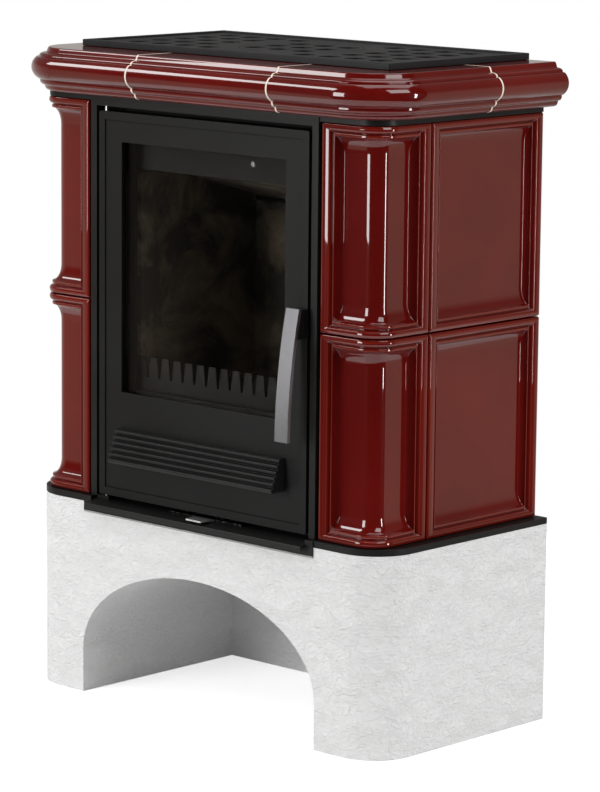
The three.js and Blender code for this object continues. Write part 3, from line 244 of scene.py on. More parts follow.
class NodeNet:
    """Short ways to add nodes to a tree and to join them."""

    def __init__(self, tree):
        self.nodes, self.links = tree.nodes, tree.links

    def set(self, socket, value):
        if isinstance(value, bpy.types.NodeSocket):
            self.links.new(value, socket)
        else:
            socket.default_value = value

    def node(self, kind, **inputs):
        made = self.nodes.new(kind)
        for key, value in inputs.items():
            self.set(made.inputs[key.replace("_", " ")], value)
        return made

    def math(self, kind, operation, *inputs):
        """The outputs of a Math or VectorMath node, its inputs given in their order."""
        made = self.nodes.new(f"ShaderNode{kind}")
        made.operation = operation
        for socket, value in zip(made.inputs, inputs):
            self.set(socket, value)
        return made.outputs

    def sum(self, first, second, factor=1.0):
        """first + second * factor."""
        return self.math("Math", "MULTIPLY_ADD", second, factor, first)[0]

    def ranged(self, source, low, high, to_low, to_high):
        """Takes low to high over to to_low to to_high, and stops there."""
        made = self.node("ShaderNodeMapRange", Value=source)
        for key, value in zip(("From Min", "From Max", "To Min", "To Max"),
                              (low, high, to_low, to_high)):
            made.inputs[key].default_value = value
        return made.outputs[0]

    def ramp(self, source, *stops):
        made = self.node("ShaderNodeValToRGB", Fac=source)
        elements = made.color_ramp.elements
        while len(elements) < len(stops):
            elements.new(0.5)
        for element, (position, colour) in zip(elements, stops):
            element.position = position
            element.color = (*colour, 1)
        return made.outputs[0]

    def mixed(self, factor, first, second):
        """A colour from first at 0 to second at 1; each is a socket or red, green, blue."""
        made = self.nodes.new("ShaderNodeMix")
        made.data_type = "RGBA"
        self.set(made.inputs[0], factor)
        for index, value in ((6, first), (7, second)):
            self.set(made.inputs[index], (*value, 1) if isinstance(value, tuple) else value)
        return made.outputs[2]

    def mixed_shaders(self, factor, first, second):
        made = self.node("ShaderNodeMixShader", Fac=factor)
        self.links.new(first, made.inputs[1])
        self.links.new(second, made.inputs[2])
        return made.outputs[0]

    def light_path(self):
        return self.nodes.new("ShaderNodeLightPath").outputs


class Surface(NodeNet):
    """A node material round one Principled shader, with its texture in object space."""

    def __init__(self, name, **constants):
        self.material = bpy.data.materials.new(name)
        self.material.use_nodes = True
        super().__init__(self.material.node_tree)
        self.shader = self.nodes["Principled BSDF"]
        self.place = self.nodes.new("ShaderNodeTexCoord").outputs["Object"]
        for key, value in constants.items():
            self.shader.inputs[key.replace("_", " ")].default_value = value

    def show(self, shader):
        """Puts a shader other than the Principled one alone on the output."""
        self.links.new(shader, self.nodes["Material Output"].inputs["Surface"])

    def stretched(self, x, y, z, place=None):
        made = self.node("ShaderNodeMapping", Vector=place or self.place, Scale=(x, y, z))
        return made.outputs[0]

    def noise(self, scale, detail=4.0, rough=0.5, place=None, distortion=0.0):
        made = self.node("ShaderNodeTexNoise", Vector=place or self.place, Scale=scale,
                         Detail=detail, Roughness=rough, Distortion=distortion)
        return made.outputs[0]

    def cells(self, scale):
        made = self.node("ShaderNodeTexVoronoi", Vector=self.place, Scale=scale)
        return made.outputs["Distance"]

    def place_along(self, axis):
        """Place along X, Y or Z, in metres."""
        return self.node("ShaderNodeSeparateXYZ", Vector=self.place).outputs[axis]

    def attribute(self, name):
        made = self.node("ShaderNodeAttribute")
        made.attribute_name = name
        return made.outputs["Fac"]

    def unshaded(self, width_mm):
        """One on open faces, less in grooves and inner corners of about that width, for
        painted shade there.
        """
        made = self.node("ShaderNodeAmbientOcclusion", Distance=width_mm * MM)
        made.samples = 8
        made.only_local = True
        return self.ranged(made.outputs["AO"], 0.45, 0.95, 0.2, 1.0)

    def edges(self, width_mm, ragged=0.3):
        """One on the outer edges of the piece and 0 on its faces, broken up by ragged; the
        finishes lighten these edges as rubbed wear and painted highlight.
        """
        rounded = self.node("ShaderNodeBevel", Radius=width_mm * MM)
        rounded.samples = 4
        true_normal = self.nodes.new("ShaderNodeNewGeometry").outputs["Normal"]
        agree = self.math("VectorMath", "DOT_PRODUCT", rounded.outputs[0], true_normal)
        worn_and_lit = self.sum(agree["Value"], self.noise(160.0, 3.0), -ragged)
        return self.ranged(worn_and_lit, 0.93 - ragged / 2, 0.8 - ragged / 2, 0.0, 1.0)

    def colour(self, source):
        self.set(self.shader.inputs["Base Color"], source)

    def roughness(self, source):
        self.set(self.shader.inputs["Roughness"], source)

    def bump(self, height, depth_mm, strength):
        made = self.node("ShaderNodeBump", Height=height, Distance=depth_mm * MM,
                         Strength=strength)
        self.links.new(made.outputs[0], self.shader.inputs["Normal"])


def glaze_surface():
    """Oxblood glaze: deep where it pools, browner where it thins on raised edges."""
    s = Surface("oxblood_glaze", Roughness=0.3, Coat_Weight=1.0, Coat_Roughness=0.02,
                Coat_IOR=1.68, IOR=1.5, Specular_IOR_Level=0.04)
    drift = s.noise(5.0, 3.0)
    body = s.ramp(drift, (0.3, (0.095, 0.0026, 0.0017)), (0.7, (0.138, 0.0048, 0.003)))
    raised_edge = s.ramp(s.attribute("raised"), (0.55, (0, 0, 0)), (0.95, (0.8, 0.8, 0.8)))
    thin = s.mixed(raised_edge, body, (0.24, 0.028, 0.011))
    pooled = s.ramp(s.attribute("raised"), (0.1, (0.5, 0.5, 0.5)), (0.45, (0, 0, 0)))
    s.colour(s.mixed(pooled, thin, (0.06, 0.0018, 0.0014)))
    s.bump(s.noise(16.0, 2.0, 0.4), 0.5, 0.4)
    return s.material


def grout_surface():
    """Fine cream grout."""
    s = Surface("cream_grout", IOR=1.45)
    grain = s.noise(900.0, 3.0, 0.7)
    s.colour(s.ramp(grain, (0.3, (0.8, 0.7, 0.56)), (0.75, (0.93, 0.86, 0.75))))
    s.roughness(s.ranged(grain, 0, 1, 0.7, 0.9))
    s.bump(grain, 0.25, 0.6)
    return s.material


def plaster_surface():
    """White plaster rubbed with a float: short ridges and pits over a fine grain."""
    s = Surface("rubbed_plaster", IOR=1.45)
    wander = s.node("ShaderNodeTexNoise", Vector=s.place, Scale=26.0, Detail=2.0)
    bent = s.math("VectorMath", "MULTIPLY_ADD", wander.outputs["Color"],
                  (0.022, 0.022, 0.022), s.place)[0]
    ridges = s.noise(185.0, 4.0, 0.55, place=s.stretched(0.62, 0.62, 1.3, bent),
                     distortion=0.2)
    raked = s.ranged(ridges, 0.36, 0.68, 0.0, 1.0)
    level = s.noise(34.0, 3.0, 0.6)
    grain = s.noise(600.0, 3.0, 0.6)
    relief = s.sum(s.sum(raked, level, 0.3), grain, 0.2)
    s.colour(s.ramp(raked, (0.1, (0.825, 0.825, 0.822)), (0.6, (0.85, 0.85, 0.848))))
    s.roughness(s.ranged(grain, 0, 1, 0.78, 0.95))
    s.bump(relief, 2.2, 0.9)
    return s.material


def scaled(colour, factor, more=0.0):
    return tuple(c * factor + more for c in colour)


def black_paint_surface(name, colour, rough, grain_mm=0.06):
    """Satin stove paint: a fine grain, edges lightened as rubbed wear and painted highlight,
    and painted shade darkening its grooves.
    """
    s = Surface(name, IOR=1.45)
    patches = s.noise(7.0, 4.0, 0.6)
    paint = s.ramp(patches, (0.3, scaled(colour, 0.8)), (0.7, scaled(colour, 1.25)))
    # Lighter outer edges: rubbed wear and a painted edge highlight.
    open_paint = s.mixed(s.edges(1.0), paint, scaled(colour, 2.6, 0.006))
    # Painted shade: near black colour and less reflection in grooves and inner corners,
    # where shade falls.
    unshaded = s.unshaded(6.0)
    s.colour(s.mixed(unshaded, (0.001, 0.001, 0.001), open_paint))
    s.set(s.shader.inputs["Specular IOR Level"], s.ranged(unshaded, 0, 1, 0, 0.28))
    s.roughness(s.ranged(patches, 0.2, 0.8, rough - 0.05, rough + 0.07))
    s.bump(s.noise(1500.0, 2.0, 0.5), grain_mm, 0.5)
    return s.material


def sill_surface():
    """Black paint, with a light grey band along the lower edge of the apron."""
    s = Surface("sill_black", IOR=1.45, Specular_IOR_Level=0.32)
    scuffs = s.noise(90.0, 3.0, 0.6)
    ragged_height = s.sum(s.place_along("Z"), scuffs, 1.2 * MM)
    edge, fade = (APRON_BOTTOM + APRON_PALE_HEIGHT) * MM, 0.3 * MM
    pale_part = s.ranged(ragged_height, edge - fade, edge + fade, 1.0, 0.0)
    s.colour(s.mixed(pale_part, (0.009, 0.009, 0.0086), (0.36, 0.36, 0.35)))
    s.roughness(s.ranged(scuffs, 0, 1, 0.34, 0.5))
    s.bump(s.noise(1500.0, 2.0, 0.5), 0.06, 0.5)
    return s.material


def cast_iron_surface(name, colour, rough):
    """Sand-cast iron: a pebbled skin, an uneven sheen, and edges lightened as rubbed wear
    and painted highlight.
    """
    s = Surface(name, IOR=1.5, Metallic=0.35)
    skin_grain = s.noise(520.0, 5.0, 0.65)
    patches = s.noise(11.0, 4.0, 0.6)
    skin = s.ramp(s.sum(skin_grain, patches, 0.5), (0.5, colour), (1.0, scaled(colour, 1.5)))
    # Lighter outer edges: rubbed wear and a painted edge highlight.
    s.colour(s.mixed(s.edges(1.4), skin, scaled(colour, 2.4, 0.006)))
    s.roughness(s.ranged(patches, 0.2, 0.8, rough - 0.08, rough + 0.1))
    s.bump(skin_grain, 0.28, 0.6)
    return s.material


def brushed_surface(name, colour, rough, stretch):
    """Steel brushed one way: long fine scratches in both sheen and relief."""
    s = Surface(name, Metallic=1.0)
    scratches = s.noise(900.0, 4.0, 0.7, place=s.stretched(*stretch))
    sheen = s.sum(scratches, s.noise(18.0, 3.0), 0.6)
    s.colour(s.ramp(scratches, (0.3, scaled(colour, 0.82)), (0.7, colour)))
    s.roughness(s.ranged(sheen, 0.4, 1.2, rough - 0.06, rough + 0.14))
    s.bump(scratches, 0.03, 0.5)
    return s.material


def slide_surface():
    """Blackened sheet, its finger tab in front of the door worn bright."""
    s = Surface("slide_steel", Metallic=1.0)
    scuffs = s.noise(240.0, 3.0, 0.6)
    ragged_place = s.sum(s.place_along("Y"), scuffs, 4 * MM)
    edge, fade = TILE_FRONT_Y + SLIDE_BARE_FROM * MM, 1.5 * MM
    pale_part = s.ranged(ragged_place, edge - fade, edge + fade, 1.0, 0.0)
    s.colour(s.mixed(pale_part, (0.012, 0.012, 0.012), (0.75, 0.75, 0.74)))
    s.roughness(s.ranged(scuffs, 0, 1, 0.3, 0.48))
    s.bump(scuffs, 0.04, 0.5)
    return s.material


def fire_clay_surface():
    """Pressed fire clay under clouds of soot."""
    s = Surface("fire_clay", IOR=1.4, Roughness=0.92)
    grit = s.noise(380.0, 4.0, 0.7)
    clay = s.ramp(grit, (0.3, (0.2, 0.16, 0.11)), (0.7, (0.3, 0.245, 0.175)))
    clouds = s.noise(9.0, 5.0, 0.65, distortion=0.6)
    soot = s.ramp(clouds, (0.36, (0.35, 0.35, 0.35)), (0.6, (0.95, 0.95, 0.95)))
    s.colour(s.mixed(soot, clay, (0.02, 0.018, 0.016)))
    s.bump(grit, 0.5, 0.7)
    return s.material


def rope_surface():
    """Grey knitted rope."""
    s = Surface("knitted_rope", IOR=1.4, Roughness=0.95)
    knit = s.cells(420.0)
    s.colour(s.ramp(knit, (0.0, (0.13, 0.125, 0.11)), (0.7, (0.05, 0.047, 0.042))))
    s.bump(knit, 1.2, 0.8)
    return s.material


def zinc_surface():
    """Galvanised sheet with a faint spangle."""
    s = Surface("zinc_sheet", Metallic=0.9)
    spangle = s.cells(260.0)
    clouds = s.noise(6.0, 4.0, 0.6)
    s.colour(s.ramp(s.sum(spangle, clouds, 0.8), (0.3, (0.38, 0.395, 0.405)),
                    (1.1, (0.29, 0.305, 0.315))))
    s.roughness(s.ranged(spangle, 0, 0.8, 0.4, 0.5))
    s.bump(s.noise(300.0, 2.0), 0.05, 0.4)
    return s.material


def glass_surface():
    """Clear ceramic glass that lets the lamps through to the bricks behind it."""
    s = Surface("ceramic_glass", Roughness=0.01, IOR=1.26, Transmission_Weight=1.0,
                Base_Color=(0.93, 0.92, 0.89, 1))
    clear = s.node("ShaderNodeBsdfTransparent", Color=(0.9, 0.89, 0.86, 1)).outputs[0]
    s.show(s.mixed_shaders(s.light_path()["Is Shadow Ray"], s.shader.outputs[0], clear))
    s.bump(s.noise(3.0, 1.0), 0.05, 0.1)
    return s.material


GLAZE = glaze_surface()
GROUT = grout_surface()
PLASTER = plaster_surface()
FRAME_BLACK = black_paint_surface("frame_black", (0.009, 0.009, 0.0086), 0.4)
DOOR_BLACK = black_paint_surface("door_black", (0.0045, 0.0045, 0.0043), 0.46, 0.1)
HOOD_BLACK = black_paint_surface("hood_black", (0.01, 0.01, 0.0097), 0.36, 0.12)
BOILER_PAINT = black_paint_surface("boiler_paint", (0.007, 0.0067, 0.0064), 0.7, 0.12)
TOP_CAST = cast_iron_surface("top_cast", (0.011, 0.011, 0.012), 0.5)
GRATE_CAST = cast_iron_surface("grate_cast", (0.028, 0.027, 0.026), 0.62)
HANDLE_STEEL = brushed_surface("handle_steel", (0.24, 0.24, 0.25), 0.36, (1, 1, 0.03))
BRIGHT_STEEL = brushed_surface("bright_steel", (0.6, 0.6, 0.6), 0.26, (0.05, 1, 1))
SLIDE_STEEL = slide_surface()
SILL_BLACK = sill_surface()
FIRE_CLAY = fire_clay_surface()
ROPE = rope_surface()
ZINC = zinc_surface()
GLASS = glass_surface()


# ------------------------------------------------------------------ glazed tiles


def tile_edge(field_depth):
    """Edge moulding from the joint inwards: border, quirk, fillet and cove.

    Each point is (inset at the ends, inset at top and bottom, depth).
    """
    edge = [(0, 0, 4.2), (1.2, 1.3, 1.2), (4, 5.2, 0), (9.6, 7.2, 0.2), (14.5, 9, 0.9),
            (17, 10.9, 3.4), (18.2, 11.8, 6.2), (19.8, 13, 6.2), (20.6, 14, 4.3),
            (22.5, 17.6, 4.2)]
    end_inset, top_inset, start_depth = edge[-1]
    for i in range(1, COVE_STEPS + 1):
        angle = i / COVE_STEPS * math.pi / 2
        edge.append((end_inset + TILE_COVE_WIDTH * (1 - math.cos(angle)),
                     top_inset + TILE_COVE_HEIGHT * (1 - math.cos(angle)),
                     start_depth + (field_depth - start_depth) * math.sin(angle)))
    return eased(edge, GLAZE_ROUNDING)


def raised_values(edge):
    """How far each point of the moulding stands proud of its neighbours, as 0 to 1."""
    values = []
    for i, (_, _, depth) in enumerate(edge):
        near = [edge[j][2] for j in range(max(i - 3, 0), min(i + 4, len(edge)))]
        values.append(min(max(0.5 + (sum(near) / len(near) - depth) * 0.9, 0), 1))
    return values


def rounded_ring(u0, u1, v0, v1, stations):
    """Points (u, v) round a tile, in the same order and number for every inset."""
    radius = TILE_CORNER_EASE
    along = [u0 + radius, *stations, u1 - radius]
    turn = [(math.sin(a), math.cos(a)) for a in (math.pi / 6, math.pi / 3)]
    ring = [(u, v0) for u in along]
    ring += [(u1 - radius + radius * s, v0 + radius - radius * c) for s, c in turn]
    ring += [(u1, v0 + radius), (u1, v1 - radius)]
    ring += [(u1 - radius + radius * c, v1 - radius + radius * s) for s, c in turn]
    ring += [(u, v1) for u in reversed(along)]
    ring += [(u0 + radius - radius * s, v1 - radius + radius * c) for s, c in turn]
    ring += [(u0, v1 - radius), (u0, v0 + radius)]
    ring += [(u0 + radius - radius * c, v0 + radius - radius * s) for s, c in turn]
    return ring


def ring_cap(along_count):
    """Faces across a ring: strips between bottom and top, and one face at each end."""
    n = along_count
    top = [2 * n + 5 - i for i in range(n)]
    strips = [(i, i + 1, top[i + 1], top[i]) for i in range(n - 1)]
    right = (n - 1, *range(n, n + 6), top[n - 1])
    left = (top[0], *range(2 * n + 6, 2 * n + 12), 0)
    return [*strips, right, left]


def tile_piece(name, path, length, stations, z0, field_depth):
    """path(u, depth) gives the plan point at u along the tile, depth behind its plane."""
    edge = tile_edge(field_depth)
    pocket = TILE_POCKET_INSET
    steps = [(pocket, pocket, TILE_POCKET_DEPTH), (pocket, pocket, TILE_BACK_DEPTH),
             (0, 0, TILE_BACK_DEPTH), *edge]
    z1 = z0 + TILE_PITCH - TILE_JOINT
    rings = []
    for end_inset, top_inset, depth in steps:
        ring = rounded_ring(end_inset, length - end_inset, z0 + top_inset, z1 - top_inset,
                            stations)
        rings.append([(*path(u, depth), v) for u, v in ring])
    vertices, faces = skin(rings, ring_cap(len(stations) + 2))
    piece = new_piece(f"glazed_{name}", vertices, faces, GLAZE, "stove", "glaze", [name])
    back = [0.5] * (len(steps) - len(edge))
    write_raised(piece, [value for value in back + raised_values(edge) for _ in rings[0]])


def write_raised(piece, values):
    """Stores a value per point, which the glaze reads."""
    layer = piece.data.attributes.new("raised", "FLOAT", "POINT")
    layer.data.foreach_set("value", values)


def corner_path(side):
    """Front leg, round corner and side leg, measured along the tile plane."""
    radius = TILE_CORNER_RADIUS
    centre_x = BODY_HALF - radius
    leg = centre_x - CORNER_TILE_FRONT_X
    arc = math.pi / 2 * radius

    def path(u, depth):
        if u <= leg:
            return side * (CORNER_TILE_FRONT_X + u), depth
        if u >= leg + arc:
            return side * (BODY_HALF - depth), radius + u - leg - arc
        angle = (u - leg) / radius
        reach = radius - depth
        return (side * (centre_x + reach * math.sin(angle)),
                radius - reach * math.cos(angle))

    stations = [leg + arc * i / TURN_STEPS for i in range(TURN_STEPS + 1)]
    length = leg + arc + CORNER_TILE_LEG - TILE_JOINT / 2 - radius
    return path, length, stations


def side_path(side):
    """Straight back from the corner tile, measured along the tile plane."""
    start = CORNER_TILE_LEG + TILE_JOINT / 2

    def path(u, depth):
        return side * (BODY_HALF - depth), start + u

    return path, BODY_DEPTH - start, []


def add_tiles():
    for row, level in enumerate(("lower", "upper")):
        z0 = TILE_BOTTOM + row * TILE_PITCH
        for side, word in SIDES:
            tile_piece(f"corner_tile_{word}_{level}", *corner_path(side), z0,
                       CORNER_SHAFT_DEPTH)
            tile_piece(f"side_tile_{word}_{level}", *side_path(side), z0, SIDE_FIELD_DEPTH)


# ------------------------------------------------------------------ cornice


def ellipse(cx, cy, rx, ry, start, end, steps=10):
    """Points on an ellipse, its angles given in units of pi."""
    angles = [math.pi * (start + (end - start) * i / steps) for i in range(steps + 1)]
    return [(cx + rx * math.cos(a), cy + ry * math.sin(a)) for a in angles]


def cornice_section():
    """Half profile: distance out from the tile plane, and height."""
    z, top = CORNICE_BOTTOM, CORNICE_TOP
    points = [
        (CORNICE_INNER, z), (8.5, z),
        *ellipse(8.5, z + 7, 7, 6.5, -0.5, 0),
        (16.5, z + 9),
        *ellipse(16.5, z + 15.3, 6.5, 6.3, -0.5, 0),
        (22.6, z + 17.2),
        *ellipse(13, z + 35.3, 22.8, 20.4, -0.35, 0.27, 18),
        (23.4, top - 14),
        *ellipse(15.5, top - 13.2, 8.4, 4.8, 0, 0.5),
        (13, top - 7.8), (10.6, top - 1.4), (9.2, top), (CORNICE_INNER, top),
    ]
    apart = [p for i, p in enumerate(points) if distance(p, points[i - 1]) > 0.05]
    return eased(apart, GLAZE_ROUNDING, 2, closed=True)


SIDE_RUN = CORNICE_REAR_Y - CORNICE_CORNER_RADIUS
CORNER_RUN = math.pi / 2 * CORNICE_CORNER_RADIUS
FRONT_RUN = 2 * (BODY_HALF - CORNICE_CORNER_RADIUS)
TOTAL_RUN = 2 * SIDE_RUN + 2 * CORNER_RUN + FRONT_RUN


def cornice_station(run):
    """Place on the tile plane and outward angle, at a distance from the left rear end."""
    r = CORNICE_CORNER_RADIUS
    if run <= SIDE_RUN:
        return -BODY_HALF, CORNICE_REAR_Y - run, math.pi
    if run < SIDE_RUN + CORNER_RUN:
        angle = math.pi + (run - SIDE_RUN) / r
        return -BODY_HALF + r + r * math.cos(angle), r + r * math.sin(angle), angle
    if run <= SIDE_RUN + CORNER_RUN + FRONT_RUN:
        return -BODY_HALF + r + run - SIDE_RUN - CORNER_RUN, 0, 1.5 * math.pi
    x, y, angle = cornice_station(TOTAL_RUN - run)
    return -x, y, math.pi - angle


def cornice_runs(start, end):
    """Both ends, and the steps of the corners between them."""
    turns = {corner + CORNER_RUN * i / TURN_STEPS for i in range(TURN_STEPS + 1)
             for corner in (SIDE_RUN, TOTAL_RUN - SIDE_RUN - CORNER_RUN)}
    return sorted({start, end} | {run for run in turns if start < run < end})


def cornice_piece(name, node, start, end, material, slot, inset=0.0, end_ease=0.0):
    """One length of cornice; end_ease rounds its ends, as the glaze does."""
    section = cornice_section()
    middle = [sum(values) / len(section) for values in zip(*section)]
    shrink = [(run, inset) for run in cornice_runs(start + end_ease, end - end_ease)]
    if end_ease:
        part = 0.3 * end_ease
        shrink = [(start, inset + end_ease), (start + part, inset + part), *shrink,
                  (end - part, inset + part), (end, inset + end_ease)]
    rings = []
    for run, less in shrink:
        x, y, angle = cornice_station(run)
        ring = []
        for out, z in section:
            away = Vector((out - middle[0], z - middle[1]))
            away *= 1 - less / away.length
            reach = middle[0] + away.x
            ring.append((x + reach * math.cos(angle), y + reach * math.sin(angle),
                         middle[1] + away.y))
        rings.append(ring)
    vertices, faces = skin(rings, [range(len(section))])
    piece = new_piece(name, vertices, faces, material, "stove", slot, [node])
    write_raised(piece, [0.5] * len(vertices))


def add_cornice():
    """Five lengths of cornice with four joints of grout between them."""
    front_middle = SIDE_RUN + CORNER_RUN + BODY_HALF - CORNICE_CORNER_RADIUS
    joints = [CORNICE_REAR_Y - CORNICE_JOINT_SIDE_LEFT,
              *(front_middle + x for x in CORNICE_JOINT_FRONT),
              TOTAL_RUN - (CORNICE_REAR_Y - CORNICE_JOINT_SIDE_RIGHT)]
    half = CORNICE_JOINT_WIDTH / 2
    starts = [0, *(joint + half for joint in joints)]
    ends = [*(joint - half for joint in joints), TOTAL_RUN]
    names = ("left_rear", "left_corner", "front", "right_corner", "right_rear")
    for name, start, end in zip(names, starts, ends):
        cornice_piece(f"glazed_cornice_{name}", f"cornice_{name}", start, end, GLAZE,
                      "glaze", end_ease=CORNICE_END_EASE)
    joint_names = ("left_side", "front_left", "front_right", "right_side")
    reach = half - GROUT_GAP
    for name, joint in zip(joint_names, joints):
        cornice_piece(f"grout_{name}", f"cornice_joint_{name}", joint - reach,
                      joint + reach, GROUT, "grout", inset=-GROUT_PROUD)


# ------------------------------------------------------------------ cast top


def rounded_box(x0, x1, y0, y1, radius, steps=5):
    points = []
    corners = ((x1 - radius, y1 - radius), (x0 + radius, y1 - radius),
               (x0 + radius, y0 + radius), (x1 - radius, y0 + radius))
    for quarter, (cx, cy) in enumerate(corners):
        for i in range(steps + 1):
            angle = (quarter + i / steps) * math.pi / 2
            points.append((cx + radius * math.cos(angle), cy + radius * math.sin(angle)))
    return points


def circle(cx, cy, radius, steps=96):
    return [(cx + radius * math.cos(2 * math.pi * i / steps),
             cy + radius * math.sin(2 * math.pi * i / steps)) for i in range(steps)]


def plate_mesh(name, loops, z0, z1, edge):
    """A flat casting from closed plan loops, holes inside outlines, with eased edges."""
    curve = bpy.data.curves.new(name, "CURVE")
    curve.dimensions = "2D"
    curve.fill_mode = "BOTH"
    for loop in loops:
        spline = curve.splines.new("POLY")
        spline.points.add(len(loop) - 1)
        for point, (x, y) in zip(spline.points, loop):
            place = at(x, y, 0)
            point.co = (place.x, place.y, 0, 1)
        spline.use_cyclic_u = True
    curve.extrude = ((z1 - z0) / 2 - edge) * MM
    curve.bevel_depth = edge * MM
    curve.bevel_resolution = 1
    curve.offset = -edge * MM
    drawn = placed(name, curve)
    bpy.context.view_layer.update()
    mesh = bpy.data.meshes.new_from_object(
        drawn.evaluated_get(bpy.context.evaluated_depsgraph_get()))
    bpy.data.objects.remove(drawn)
    bpy.data.curves.remove(curve)
    mesh.transform(Matrix.Translation((0, 0, (z0 + z1) / 2 * MM)))
    clean(mesh)
    mesh.name = name
    return placed(name, mesh)


def top_plan(inset, radius):
    """Outline of the top plate, inset mm within its edge."""
    return rounded_box(-TOP_PLATE_HALF + inset, TOP_PLATE_HALF - inset,
                       TOP_PLATE_FRONT + inset, TOP_PLATE_REAR - inset, radius)


def grille_holes(middle_y, seat):
    """Openings of the plate and of its cover; none of them crosses the seat."""
    half = GRILLE_OPENING / 2
    reach = GRILLE_OPENING * 0.6
    plate_holes, cover_holes = [], []
    for column in range(GRILLE_COLUMNS):
        for row in range(GRILLE_ROWS):
            x = (column - (GRILLE_COLUMNS - 1) / 2) * GRILLE_PITCH
            y = middle_y + (row - (GRILLE_ROWS - 1) / 2) * GRILLE_PITCH
            away = math.hypot(x, y - middle_y)
            hole = rounded_box(x - half, x + half, y - half, y + half, GRILLE_RADIUS)
            if away > seat + COVER_MARGIN + reach:
                plate_holes.append(hole)
            elif away + reach < COVER_RADIUS - COVER_MARGIN:
                cover_holes.append(hole)
    return plate_holes, cover_holes


def add_top():
    """The cast plate as lattice, ledge and rim, and its round cover."""
    middle_y = (TOP_PLATE_FRONT + TOP_PLATE_REAR) / 2
    seat = COVER_RADIUS + COVER_GAP
    plate_holes, cover_holes = grille_holes(middle_y, seat)
    lattice_top = TOP_PLATE_TOP - TOP_PLATE_SINK
    castings = (
        ("grille_lattice", TOP_PLATE_BOTTOM, lattice_top, 0.7, ["top_plate"],
         [top_plan(TOP_PLATE_LAP, TOP_PLATE_LAP), circle(0, middle_y, seat),
          *plate_holes]),
        ("grille_ledge", TOP_PLATE_BOTTOM, COVER_BOTTOM - LEDGE_GAP, 0.4, [],
         [circle(0, middle_y, seat + LEDGE_LAP),
          circle(0, middle_y, seat - COVER_LEDGE)]),
        ("grille_rim", TOP_PLATE_BOTTOM, TOP_PLATE_TOP, 0.9, [],
         [top_plan(0, TOP_PLATE_RADIUS), top_plan(TOP_PLATE_RIM, TOP_PLATE_INNER_RADIUS)]),
        ("round_cover", COVER_BOTTOM, lattice_top, 0.7, ["top_cover"],
         [circle(0, middle_y, COVER_RADIUS), *cover_holes]),
    )
    for name, z0, z1, edge, replaces, loops in castings:
        finish_piece(plate_mesh(name, loops, z0, z1, edge), TOP_CAST, "stove",
                     replaces)


# ------------------------------------------------------------------ air hood on the door


def hood_face():
    """Round ribs down a slanted line, as (depth behind the door face, height)."""
    start = Vector((-HOOD_TOP_PROUD, HOOD_TOP))
    end = Vector((-HOOD_BOTTOM_PROUD, HOOD_BOTTOM))
    way = (end - start).normalized()
    out = Vector((way.y, -way.x))
    pitch = (end - start).length / HOOD_RIBS
    points = []
    for rib in range(HOOD_RIBS):
        for i in range(HOOD_RIB_STEPS + 1):
            t = (rib + 0.06 + 0.88 * i / HOOD_RIB_STEPS) * pitch
            swell = 0.36 * pitch * math.sin(math.pi * i / HOOD_RIB_STEPS)
            points.append(tuple(start + way * t + out * swell))
    return points, tuple(end - way * 0.1 * pitch)


def add_hood():
    """The ribbed hood, closed at its ends and hollow underneath."""
    face, foot = hood_face()
    ceiling = HOOD_TOP - HOOD_WALL * 1.5
    outline = [(HOOD_BACK, HOOD_TOP), *face, foot, (foot[0] + HOOD_WALL, foot[1]),
               (-HOOD_TOP_PROUD + HOOD_WALL, ceiling), (HOOD_BACK, ceiling)]
    extruded("ribbed_hood", outline, -HOOD_HALF, HOOD_HALF, HOOD_BLACK, "door",
             "cast_black", ["air_hood"])
    cheek = [(HOOD_BACK, HOOD_TOP), (-HOOD_TOP_PROUD, HOOD_TOP - 0.4), foot,
             (HOOD_BACK, foot[1])]
    for side, word in SIDES:
        outer, inner = side * (HOOD_HALF - HOOD_CHEEK_INSET), side * (HOOD_HALF - HOOD_WALL)
        extruded(f"hood_cheek_{word}", cheek, outer, inner, HOOD_BLACK, "door",
                 "cast_black")


def add_wash_screw():
    """Pan-head screw in the air wash plate, seen at the top of the window."""
    rings = [[(x, AIR_WASH_FACE - proud, z)
              for x, z in circle(SCREW_X, SCREW_Z, radius, SCREW_POINTS)]
             for radius, proud in SCREW_SECTION]
    vertices, faces = skin(rings, [range(SCREW_POINTS)])
    new_piece("wash_screw", vertices, faces, BRIGHT_STEEL, "stove", "bright_steel")


# ------------------------------------------------------------------ finishes of CAD nodes


def dress(node, material, edge_mm):
    """The CAD solid with its own finish and broken edges; at 0 its faces stay flat."""
    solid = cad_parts[node]
    solid.data.materials.clear()
    solid.data.materials.append(material)
    weld = solid.modifiers.new("one_skin", "WELD")
    weld.merge_threshold = WELD_REACH
    if not edge_mm:
        solid.data.shade_flat()
        return
    bevel = solid.modifiers.new("broken_edges", "BEVEL")
    bevel.width = edge_mm * MM
    bevel.segments = 2
    bevel.limit_method = "ANGLE"
    bevel.angle_limit = BEVEL_ANGLE
    solid.data.shade_smooth()
    weight_normals(solid)


